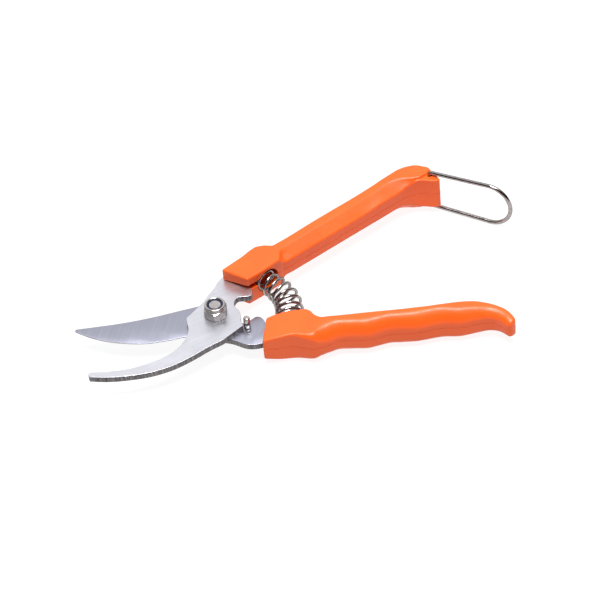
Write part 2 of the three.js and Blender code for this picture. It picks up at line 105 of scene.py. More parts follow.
def ease(x: Array | float, low: float, high: float) -> Array:
    """Smooth step from 0 at low to 1 at high: t * t * (3 - 2 t), with t the share of the way."""
    t = np.clip((np.asarray(x, float) - low) / (high - low), 0, 1)
    return t * t * (3 - 2 * t)


def monotone(knots: Array, values: Array, at: Array) -> Array:
    """Cubic through values at knots that never overshoots them.

    The slope at a knot is the weighted harmonic mean of its two chords' slopes, and zero where they change
    sign; each span is then the cubic with those end slopes.

    Args:
        knots: rising positions, one for each row of values.
        values: one row of numbers for each knot.
        at: positions wanted.

    Returns:
        One row for each wanted position.
    """
    h = np.diff(knots)[:, None]
    chord = np.diff(values, axis=0) / h
    w1, w2 = 2 * h[1:] + h[:-1], h[1:] + 2 * h[:-1]
    before, after = chord[:-1], chord[1:]
    same = before * after > 0
    safe_before, safe_after = np.where(same, before, 1), np.where(same, after, 1)
    inner = np.where(same, (w1 + w2) / (w1 / safe_before + w2 / safe_after), 0)
    slope = np.concatenate([chord[:1], inner, chord[-1:]])
    i = np.clip(np.searchsorted(knots, at) - 1, 0, len(knots) - 2)
    t = ((at - knots[i]) / h[i, 0])[:, None]
    return (
        (2 * t**3 - 3 * t**2 + 1) * values[i]
        + (t**3 - 2 * t**2 + t) * h[i] * slope[i]
        + (3 * t**2 - 2 * t**3) * values[i + 1]
        + (t**3 - t**2) * h[i] * slope[i + 1]
    )


def smooth_run(points: Points, per_span: int = 24) -> Array:
    """A smooth line through points: on each span a cubic whose end slopes are its neighbours' mean chords."""
    p = np.array(points, float)
    if len(p) == 2:
        return p
    gap = np.linalg.norm(np.diff(p, axis=0), axis=1)[:, None]
    chord = np.diff(p, axis=0) / gap
    middle = (chord[:-1] * gap[1:] + chord[1:] * gap[:-1]) / (gap[1:] + gap[:-1])
    slope = np.concatenate([2 * chord[:1] - middle[:1], middle, 2 * chord[-1:] - middle[-1:]])
    t = np.linspace(0, 1, per_span, endpoint=False)[None, :, None]
    a, b = p[:-1, None], p[1:, None]
    m, n, g = slope[:-1, None], slope[1:, None], gap[:, None]
    spans = (2 * t**3 - 3 * t**2 + 1) * a + (t**3 - 2 * t**2 + t) * g * m
    spans = spans + (3 * t**2 - 2 * t**3) * b + (t**3 - t**2) * g * n
    return np.concatenate([spans.reshape(-1, p.shape[1]), p[-1:]])


def evenly(line: Array, count: int, closed: bool = False) -> Array:
    """Points at equal steps along a line, by linear interpolation over its running length."""
    loop = np.concatenate([line, line[:1]]) if closed else line
    step = np.linalg.norm(np.diff(loop, axis=0), axis=1)
    keep = np.concatenate([[True], step > 1e-9])
    loop = loop[keep]
    run = np.concatenate([[0], np.cumsum(np.linalg.norm(np.diff(loop, axis=0), axis=1))])
    at = np.linspace(0, run[-1], count, endpoint=not closed)
    return np.column_stack([np.interp(at, run, loop[:, k]) for k in range(loop.shape[1])])


def closed_outline(runs: list[Points], spacing: float, corner: float) -> Array:
    """A closed outline of smooth runs that meet at corners, with the corners eased.

    The runs are joined, sampled at equal steps, and each sample becomes the mean of its neighbours weighted
    by a bell curve of width corner, by way of the loop's Fourier series.

    Args:
        runs: lists of points, each run starting where the last one ended.
        spacing: step between samples.
        corner: width of the bell curve.

    Returns:
        The closed outline, anticlockwise.
    """
    line = np.concatenate([smooth_run(run)[:-1] for run in runs])
    length = np.linalg.norm(np.roll(line, -1, axis=0) - line, axis=1).sum()
    even = evenly(line, int(length / spacing), closed=True)
    wave = np.fft.fftfreq(len(even), d=spacing)[:, None]
    bell = np.exp(-2 * (math.pi * wave * corner) ** 2)
    eased = np.fft.ifft(np.fft.fft(even, axis=0) * bell, axis=0).real
    x, y = eased.T
    turns_left = np.sum(x * np.roll(y, -1) - y * np.roll(x, -1)) > 0
    return eased if turns_left else eased[::-1]


def inward(outline: Array) -> Array:
    """Unit normals of a closed anticlockwise outline that point into it: its direction turned left."""
    along = unit(np.roll(outline, -1, axis=-2) - np.roll(outline, 1, axis=-2))
    return np.stack([-along[..., 1], along[..., 0]], axis=-1)


# ---- Meshes --------------------------------------------------------------------------------------


def ring_faces(rings: int, sides: int, closed: bool = False) -> list[tuple[int, ...]]:
    """Four-sided faces between neighbouring rings of a grid whose rows close on themselves."""
    rows = np.arange(rings if closed else rings - 1)[:, None]
    cols = np.arange(sides)[None, :]
    up, right = (rows + 1) % rings, (cols + 1) % sides
    corners = [rows * sides + cols, rows * sides + right, up * sides + right, up * sides + cols]
    return np.stack(corners, axis=-1).reshape(-1, 4).tolist()


def make_piece(
    name: str, points: Array, faces: list, flat: set[int], materials: list, marks: Array
) -> bpy.types.Object:
    """A mesh object at the origin, from points in millimetres.

    Args:
        name: the piece's name.
        points: one row for each vertex.
        faces: vertex numbers of each face.
        flat: numbers of the faces that are shaded flat.
        materials: the piece's materials.
        marks: number of each face's material.

    Returns:
        The object, its faces pointing outwards.
    """
    mesh = bpy.data.meshes.new(name)
    mesh.from_pydata((points * MM).tolist(), [], faces)
    smooth = np.ones(len(faces), bool)
    smooth[list(flat)] = False
    mesh.polygons.foreach_set("use_smooth", smooth)
    for material in materials:
        mesh.materials.append(material)
    mesh.polygons.foreach_set("material_index", marks.astype(np.int32))
    mesh.update()
    turn_outwards(mesh)
    piece = bpy.data.objects.new(name, mesh)
    bpy.context.scene.collection.objects.link(piece)
    return piece


def turn_outwards(mesh: bpy.types.Mesh) -> None:
    """Turns all faces of a closed mesh to point outwards."""
    work = bmesh.new()
    work.from_mesh(mesh)
    bmesh.ops.recalc_face_normals(work, faces=work.faces)
    work.to_mesh(mesh)
    work.free()


def lofted(name: str, rings: Array, materials: list) -> bpy.types.Object:
    """A closed body through rings of points, shape (rings, sides, 3), with a flat face on each end."""
    count, sides, _ = rings.shape
    faces = ring_faces(count, sides)
    caps = [list(range(sides))[::-1], list(range((count - 1) * sides, count * sides))]
    slots = np.zeros(len(faces) + len(caps))
    flat = {len(faces), len(faces) + 1}
    return make_piece(name, rings.reshape(-1, 3), faces + caps, flat, materials, slots)


def closed_tube(name: str, rings: Array, materials: list) -> bpy.types.Object:
    """A closed ring-shaped body: rings of points whose last ring joins the first."""
    count, sides, _ = rings.shape
    faces = ring_faces(count, sides, closed=True)
    return make_piece(name, rings.reshape(-1, 3), faces, set(), materials, np.zeros(len(faces)))


def plate(outline: Array, insets: Array, levels: Array) -> Array:
    """Rings of a plate: the outline moved in by an inset, at a level, for each step of its edge profile.

    Args:
        outline: closed anticlockwise outline.
        insets: shape (steps,) or (steps, points): how far each ring lies inside the outline.
        levels: height of each ring.

    Returns:
        Rings of shape (steps, points, 3).
    """
    insets = np.broadcast_to(insets.reshape(len(levels), -1), (len(levels), len(outline)))
    flat = outline[None] + inward(outline)[None] * insets[..., None]
    heights = np.broadcast_to(levels[:, None, None], (*insets.shape, 1))
    return np.concatenate([flat, heights], axis=-1)


def revolved(profile: Points, centre: tuple[float, float] = (0.0, 0.0), sides: int = 96) -> Array:
    """Rings about an upright axis: (r cos a, r sin a, z) for each (r, z) of the profile."""
    r, z = np.array(profile, float).T
    a = np.linspace(0, 2 * math.pi, sides, endpoint=False)
    x = centre[0] + r[:, None] * np.cos(a)
    y = centre[1] + r[:, None] * np.sin(a)
    return np.stack([x, y, np.broadcast_to(z[:, None], x.shape)], axis=-1)


def arc_profile(
    centre: tuple[float, float], radius: float, start: float, stop: float, steps: int = 6
) -> Points:
    """Points of an arc in (r, z), from angle start to stop in degrees."""
    a = np.radians(np.linspace(start, stop, steps))
    return list(zip(centre[0] + radius * np.cos(a), centre[1] + radius * np.sin(a)))


def swept_wire(line: Array, side: Array, radius: float, sides: int = 16) -> Array:
    """Rings of a round wire: line + radius (cos a * s + sin a * b).

    Here s is the given side direction made square to the line, and b is square to both.
    """
    along = unit(np.gradient(line, axis=0))
    s = unit(side - np.sum(side * along, axis=-1, keepdims=True) * along)
    b = np.cross(along, s)
    a = np.linspace(0, 2 * math.pi, sides, endpoint=False)[None, :, None]
    return line[:, None] + radius * (np.cos(a) * s[:, None] + np.sin(a) * b[:, None])


def round_wire_ends(rings: Array, line: Array, radius: float, steps: int = 5) -> Array:
    """Adds domed ends: rings shrunk by cos a and moved out by sin a * radius / 2 along the wire."""
    a = np.linspace(0, math.radians(80), steps + 1)[1:, None, None]
    first, last = unit(line[0] - line[1]), unit(line[-1] - line[-2])
    head = line[0] + (rings[:1] - line[0]) * np.cos(a) + first * np.sin(a) * radius / 2
    tail = line[-1] + (rings[-1:] - line[-1]) * np.cos(a) + last * np.sin(a) * radius / 2
    return np.concatenate([head[::-1], rings, tail])


def cut(piece: bpy.types.Object, cutters: list[bpy.types.Object]) -> None:
    """Takes the cutters out of a piece, keeps the result as its mesh, and deletes the cutters."""
    for cutter in cutters:
        step = piece.modifiers.new("cut", "BOOLEAN")
        step.operation = "DIFFERENCE"
        step.solver = "EXACT"
        step.object = cutter
    bpy.context.view_layer.update()
    evaluated = piece.evaluated_get(bpy.context.evaluated_depsgraph_get())
    made = bpy.data.meshes.new_from_object(evaluated)
    piece.modifiers.clear()
    piece.data = made
    for cutter in cutters:
        bpy.data.objects.remove(cutter)
    made.set_sharp_from_angle(angle=math.radians(38))


# ---- Finishes ------------------------------------------------------------------------------------


class Nodes:
    """Small helper that wires a material's nodes on Object coordinates."""

    def __init__(self, name: str) -> None:
        """Makes a material with a Principled surface."""
        self.material = bpy.data.materials.new(name)
        self.material.use_nodes = True
        self.tree = self.material.node_tree
        self.shader = self.tree.nodes["Principled BSDF"]
        self.place = self.tree.nodes.new("ShaderNodeTexCoord").outputs["Object"]

    def link(self, output: bpy.types.NodeSocket, target: bpy.types.NodeSocket) -> None:
        """Joins an output to an input."""
        self.tree.links.new(output, target)

    def turned(self, scale: tuple[float, float, float], degrees: float = 0.0) -> bpy.types.NodeSocket:
        """Object coordinates turned about +Z and then stretched."""
        turn = self.tree.nodes.new("ShaderNodeMapping")
        turn.inputs["Rotation"].default_value = (0, 0, math.radians(-degrees))
        self.link(self.place, turn.inputs["Vector"])
        stretch = self.tree.nodes.new("ShaderNodeMapping")
        stretch.inputs["Scale"].default_value = scale
        self.link(turn.outputs["Vector"], stretch.inputs["Vector"])
        return stretch.outputs["Vector"]

    def noise(self, vector: bpy.types.NodeSocket, scale: float, detail: float = 3.0) -> bpy.types.NodeSocket:
        """Cloudy noise from 0 to 1."""
        node = self.tree.nodes.new("ShaderNodeTexNoise")
        node.inputs["Scale"].default_value = scale
        node.inputs["Detail"].default_value = detail
        self.link(vector, node.inputs["Vector"])
        return node.outputs["Fac"]

    def spread(self, value: bpy.types.NodeSocket, low: float, high: float) -> bpy.types.NodeSocket:
        """Noise's middle range 0.3 to 0.7 spread over low to high."""
        node = self.tree.nodes.new("ShaderNodeMapRange")
        node.inputs["From Min"].default_value = 0.3
        node.inputs["From Max"].default_value = 0.7
        node.inputs["To Min"].default_value = low
        node.inputs["To Max"].default_value = high
        self.link(value, node.inputs["Value"])
        return node.outputs["Result"]

    def blend(self, share: bpy.types.NodeSocket, first: tuple, second: tuple) -> bpy.types.NodeSocket:
        """A colour between two, by a share from 0 to 1."""
        node = self.tree.nodes.new("ShaderNodeValToRGB")
        node.color_ramp.elements[0].position = 0.3
        node.color_ramp.elements[1].position = 0.7
        node.color_ramp.elements[0].color = (*first, 1)
        node.color_ramp.elements[1].color = (*second, 1)
        self.link(share, node.inputs["Fac"])
        return node.outputs["Color"]

    def bump(self, heights: list[tuple[bpy.types.NodeSocket, float]]) -> None:
        """Stacks bumps, each a height pattern and its depth in metres."""
        normal = None
        for height, depth in heights:
            node = self.tree.nodes.new("ShaderNodeBump")
            node.inputs["Distance"].default_value = depth
            self.link(height, node.inputs["Height"])
            if normal is not None:
                self.link(normal, node.inputs["Normal"])
            normal = node.outputs["Normal"]
        self.link(normal, self.shader.inputs["Normal"])

    def constants(self, **values: float) -> None:
        """Sets the shader's own sockets; an underscore in a name stands for a space."""
        for name, value in values.items():
            self.shader.inputs[name.replace("_", " ")].default_value = value


@dataclass(frozen=True)
class MouldedPlastic:
    """Moulded plastic: slow colour drift, fine spark-eroded grain and soft sink marks."""

    name: str = "orange plastic"
    light: tuple[float, float, float] = (0.88, 0.112, 0.008)
    deep: tuple[float, float, float] = (0.84, 0.098, 0.006)
    roughness: tuple[float, float] = (0.33, 0.45)
    grain: float = 2600.0
    grain_depth: float = 0.000012

    def build(self) -> bpy.types.Material:
        """Returns the material."""
        n = Nodes(self.name)
        drift = n.noise(n.turned((1, 1, 1)), 55, 4)
        n.link(n.blend(drift, self.deep, self.light), n.shader.inputs["Base Color"])
        rub = n.noise(n.turned((1, 1, 2)), 420, 5)
        n.link(n.spread(rub, *self.roughness), n.shader.inputs["Roughness"])
        n.bump([(n.noise(n.place, 95, 1), 0.00009), (n.noise(n.place, self.grain, 2), self.grain_depth)])
        n.constants(IOR=1.46, Specular_IOR_Level=0.5)
        return n.material


class Grain(Enum):
    """Direction of a ground finish in the plan, in degrees from +X."""

    ACROSS_BLADE = 62.0
    ALONG_HOOK = 14.0
    ALONG_BEVEL = -24.0


@dataclass(frozen=True)
class GroundSteel:
    """Ground sheet steel: fine parallel scratches, broader streaks and a faint cloudy stain."""

    name: str
    grain: Grain
    light: tuple[float, float, float]
    dark: tuple[float, float, float]
    roughness: tuple[float, float] = (0.3, 0.42)
    scratch_depth: float = 0.000003

    def build(self) -> bpy.types.Material:
        """Returns the material."""
        n = Nodes(self.name)
        turn = self.grain.value
        scratches = n.noise(n.turned((60, 3600, 200), turn), 1, 3)
        streaks = n.noise(n.turned((30, 1500, 60), turn), 1, 4)
        n.link(n.blend(streaks, self.dark, self.light), n.shader.inputs["Base Color"])
        stain = n.noise(n.place, 140, 5)
        n.link(n.spread(stain, *self.roughness), n.shader.inputs["Roughness"])
        n.bump([(streaks, self.scratch_depth * 0.6), (scratches, self.scratch_depth)])
        n.constants(Metallic=1.0)
        return n.material


@dataclass(frozen=True)
class ShearedEdge:
    """Stamped edge of the plate: dark, torn by the die in short upright lines."""

    name: str = "sheared edge"

    def build(self) -> bpy.types.Material:
        """Returns the material."""
        n = Nodes(self.name)
        lines = n.noise(n.turned((1500, 1500, 130)), 1, 4)
        n.link(n.blend(lines, (0.085, 0.078, 0.082), (0.27, 0.25, 0.26)), n.shader.inputs["Base Color"])
        n.link(n.spread(n.noise(n.place, 900, 3), 0.42, 0.62), n.shader.inputs["Roughness"])
        n.bump([(lines, 0.00003)])
        n.constants(Metallic=0.85)
        return n.material


@dataclass(frozen=True)
class BrightMetal:
    """Plated or drawn metal: nearly mirror-like, with a light haze and fine scratches."""

    name: str
    light: tuple[float, float, float]
    dark: tuple[float, float, float]
    roughness: tuple[float, float]
    scratch: tuple[float, float, float] = (300, 2200, 900)

    def build(self) -> bpy.types.Material:
        """Returns the material."""
        n = Nodes(self.name)
        haze = n.noise(n.place, 700, 4)
        n.link(n.blend(haze, self.dark, self.light), n.shader.inputs["Base Color"])
        n.link(n.spread(n.noise(n.place, 1500, 3), *self.roughness), n.shader.inputs["Roughness"])
        n.bump([(n.noise(n.turned(self.scratch, 30), 1, 3), 0.000003), (n.noise(n.place, 420, 2), 0.000009)])
        n.constants(Metallic=1.0)
        n.shader.inputs["Specular Tint"].default_value = (0.35, 0.33, 0.33, 1)
        return n.material


@dataclass(frozen=True)
class DarkNylon:
    """Blue-black nylon with a soft sheen."""

    name: str = "dark nylon"

    def build(self) -> bpy.types.Material:
        """Returns the material."""
        n = Nodes(self.name)
        cloud = n.noise(n.place, 600, 3)
        n.link(n.blend(cloud, (0.008, 0.010, 0.032), (0.022, 0.027, 0.075)), n.shader.inputs["Base Color"])
        n.link(n.spread(cloud, 0.38, 0.5), n.shader.inputs["Roughness"])
        n.bump([(n.noise(n.place, 2400, 2), 0.00001)])
        n.constants(IOR=1.53)
        return n.material


@dataclass
class Finishes:
    """All finishes of the tool, built once."""

    plastic: bpy.types.Material = field(default_factory=lambda: MouldedPlastic().build())
    edge: bpy.types.Material = field(default_factory=lambda: ShearedEdge().build())
    nylon: bpy.types.Material = field(default_factory=lambda: DarkNylon().build())
    cutting: bpy.types.Material = field(
        default_factory=lambda: GroundSteel(
            "ground cutting steel", Grain.ACROSS_BLADE, (0.425, 0.43, 0.51), (0.375, 0.38, 0.455), (0.3, 0.4)
        ).build()
    )
    bevel: bpy.types.Material = field(
        default_factory=lambda: GroundSteel(
            "ground bevel", Grain.ALONG_BEVEL, (0.72, 0.73, 0.75), (0.58, 0.59, 0.62), (0.16, 0.24)
        ).build()
    )
    counter: bpy.types.Material = field(
        default_factory=lambda: GroundSteel(
            "ground hook steel", Grain.ALONG_HOOK, (0.655, 0.655, 0.70), (0.60, 0.60, 0.645), (0.36, 0.46)
        ).build()
    )
    nickel: bpy.types.Material = field(
        default_factory=lambda: BrightMetal(
            "bright nickel", (0.60, 0.57, 0.545), (0.45, 0.42, 0.41), (0.08, 0.17)
        ).build()
    )
    wire: bpy.types.Material = field(
        default_factory=lambda: BrightMetal(
            "drawn wire", (0.46, 0.43, 0.42), (0.30, 0.27, 0.265), (0.1, 0.2)
        ).build()
    )


# ---- What the sub-assemblies share ---------------------------------------------------------------


@dataclass(frozen=True)
class Levels:
    """Heights and places read from the frame, in millimetres."""

    cutting: tuple[float, float]
    counter: tuple[float, float]

    @staticmethod
    def read() -> "Levels":
        """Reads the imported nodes' boxes."""
        spans = {name: [c.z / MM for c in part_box(name)] for name in ("cutting_blade", "counter_blade")}
        return Levels(tuple(spans["cutting_blade"]), tuple(spans["counter_blade"]))

    @property
    def mid_upper(self) -> float:
        """Parting plane of the upper handle, in the middle of the counter blade."""
        return sum(self.counter) / 2

    @property
    def mid_lower(self) -> float:
        """Parting plane of the lower handle, in the middle of the cutting blade."""
        return sum(self.cutting) / 2


def finished(piece: bpy.types.Object, body: str, slot: str, *nodes: str) -> bpy.types.Object:
    """Rides a piece on its body and lets it stand for its CAD nodes, which it hides."""
    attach(piece, body)
    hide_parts(*nodes)
    LOG.info("%s: %d faces", piece.name, len(piece.data.polygons))
    return piece


# ---- Blades --------------------------------------------------------------------------------------


@dataclass
class Blades:
    """The ground cutting blade, the hooked counter blade and the stop pin."""

    levels: Levels
    finishes: Finishes
    bevel_width: float = 6.0
    bevel_land: float = 0.4
    edge_line: Points = field(
        default_factory=lambda: [
            (-63.3, 13.8), (-55.3, 5.9), (-45, -0.4), (-34, -4.5), (-24, -5.9), (-14, -6.6),
        ]
    )
    rim: float = 0.16
    pin_at: tuple[float, float] = (12.0, -9.9)
    pin_radius: float = 1.5

    def cutting_outline(self) -> Array:
        """Plan of the cutting blade, its tang cut short inside the handle."""
        return closed_outline(
            [
                [(-63.2, 13.7), (-55.3, 5.9), (-45, -0.4), (-34, -4.5), (-24, -5.9), (-14, -6.6), (-5, -10.6),
                 (3, -14.8), (10.2, -20.9), (15, -21.9), (19, -21.4), (30, -19.8)],
                [(30, -19.8), (44, -24.6)],
                [(44, -24.6), (45.8, -19.0)],
                [(45.8, -19.0), (30, -13.8), (21.4, -12.2)],
                [(21.4, -12.2), (20.6, -8.8), (19.9, -5.9), (17.8, -4.2), (15.2, -5.2), (12, -6.6),
                 (9.4, -5.2),
                 (10.3, 0), (6.4, 8), (-1, 10.9), (-10, 11.2), (-28, 11.2), (-42, 12.1), (-53, 13.6),
                 (-62, 15.0)],
                [(-62, 15.0), (-62.9, 14.8), (-63.2, 13.7)],
            ],
            spacing=0.35,
            corner=0.32,
        )

    def counter_outline(self) -> Array:
        """Plan of the counter blade, its tang cut short inside the handle."""
        return closed_outline(
            [
                [(-63.8, -18.9), (-63.6, -20.1), (-62.5, -20.6)],
                [(-62.5, -20.6), (-56, -23.2), (-47, -25.3), (-37, -26.45), (-27, -25.7), (-17, -22.8),
                 (-7.5, -19.1), (-1, -17.1)],
                [(-1, -17.1), (10.1, -10.9)],
                [(10.1, -10.9), (9.7, -8.2), (10.5, -4.4), (10.6, -1), (9.4, 2.4), (10.2, 5.6), (12.2, 7.5),
                 (15.2, 7), (18.3, 6.5)],
                [(18.3, 6.5), (19.4, 8.8), (19.4, 12)],
                [(19.4, 12), (19, 17), (32, 23.8), (44, 27.2)],
                [(44, 27.2), (42.4, 32.4)],
                [(42.4, 32.4), (24, 27.4), (9.4, 23.4)],
                [(9.4, 23.4), (6.2, 20.7), (3.2, 17), (-0.5, 13.4), (-3.7, 9.9), (-6.6, 7.4), (-13.4, 2.2)],
                [(-13.4, 2.2), (-13.9, -1), (-14.2, -5), (-16.6, -10.1), (-21.4, -15.2), (-29, -19),
                 (-37, -20.6),
                 (-46, -21), (-55, -19.6), (-62.6, -17.5)],
                [(-62.6, -17.5), (-63.5, -17.9), (-63.8, -18.9)],
            ],
            spacing=0.35,
            corner=0.3,
        )

    def cutting_blade(self) -> None:
        """Plate with a bevel ground into its underside, back from the cutting edge."""
        outline = self.cutting_outline()
        piece = self.stamped("cutting_blade_fine", outline, self.levels.cutting, self.finishes.cutting)
        cut(piece, [self.bevel_wedge()])
        finished(piece, "blade_side", "blade_steel", "cutting_blade")

    def bevel_wedge(self) -> bpy.types.Object:
        """Cutter under the edge: its upper face passes through the land's foot and the bevel's inner line.

        At a point d in from the edge that face lies land + d * (thickness - land) / width below the top.
        """
        low, high = self.levels.cutting
        run = [(-71, 21.5), *self.edge_line, (-5, -9.6)]
        line = evenly(smooth_run(run), 120)
        along = unit(np.gradient(line, axis=0))
        left = np.stack([-along[:, 1], along[:, 0]], axis=-1)
        fall = (high - low - self.bevel_land) / self.bevel_width
        reach = np.array([-3.0, self.bevel_width + 1.0, self.bevel_width + 1.0, -3.0])
        heights = high - self.bevel_land - fall * reach
        heights[2:] = low - 4
        plan = line[:, None] + left[:, None] * reach[None, :, None]
        rings = np.concatenate([plan, np.broadcast_to(heights[None, :, None], (len(line), 4, 1))], axis=-1)
        faces = ring_faces(len(line), 4)
        caps = [[0, 1, 2, 3], [len(line) * 4 - k for k in (4, 3, 2, 1)]]
        marks = np.full(len(faces) + 2, 2)
        return make_piece("wedge", rings.reshape(-1, 3), faces + caps, set(range(len(marks))), [], marks)

    def stamped(
        self, name: str, outline: Array, span: tuple[float, float], face: bpy.types.Material
    ) -> bpy.types.Object:
        """A stamped plate: ground faces with a tiny rounded rim, and a sheared edge between them."""
        low, high = span
        r = self.rim
        levels = np.array([high, high - r * 0.3, high - r, low + r, low + r * 0.3, low])
        rings = plate(outline, np.array([r, r * 0.3, 0.0, 0.0, r * 0.3, r]), levels)
        count, sides, _ = rings.shape
        faces = ring_faces(count, sides)
        caps = [list(range(sides)), list(range((count - 1) * sides, count * sides))]
        bands = np.repeat([0, 1, 1, 1, 0], sides)
        slots = np.concatenate([bands, [0, 0]])
        materials = [face, self.finishes.edge, self.finishes.bevel]
        flat = {len(faces), len(faces) + 1}
        return make_piece(name, rings.reshape(-1, 3), faces + caps, flat, materials, slots)

    def counter_blade(self) -> None:
        """The hooked plate, left as stamped."""
        outline = self.counter_outline()
        piece = self.stamped("counter_blade_fine", outline, self.levels.counter, self.finishes.counter)
        finished(piece, "hook_side", "blade_steel", "counter_blade")

    def stop_pin(self) -> None:
        """Turned pin: a domed top, a waist where it was rolled, and a riveted foot."""
        low, high = (c.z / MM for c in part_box("stop_pin"))
        r = self.pin_radius
        base = self.levels.cutting[1]
        profile = [
            (r - 0.25, low), (r, low + 0.2), (r, base - 0.05), (r, base + 0.5), (r - 0.1, base + 0.62),
            (r - 0.1, base + 0.9), (r, base + 1.02), (r, high - 1.5), (r - 0.12, high - 1.38),
            (r - 0.12, high - 1.12), (r, high - 1.0), (r, high - 0.62),
            *arc_profile((r - 0.62, high - 0.62), 0.62, 12, 90, 8), (0.3, high),
        ]
        piece = lofted("stop_pin_fine", revolved(profile, self.pin_at, 48), [self.finishes.nickel])
        piece.data.set_sharp_from_angle(angle=math.radians(50))
        finished(piece, "blade_side", "bright_steel", "stop_pin")

    def build(self) -> None:
        """Makes the blades and the pin."""
        self.cutting_blade()
        self.counter_blade()
        self.stop_pin()


# ---- Pivot ---------------------------------------------------------------------------------------


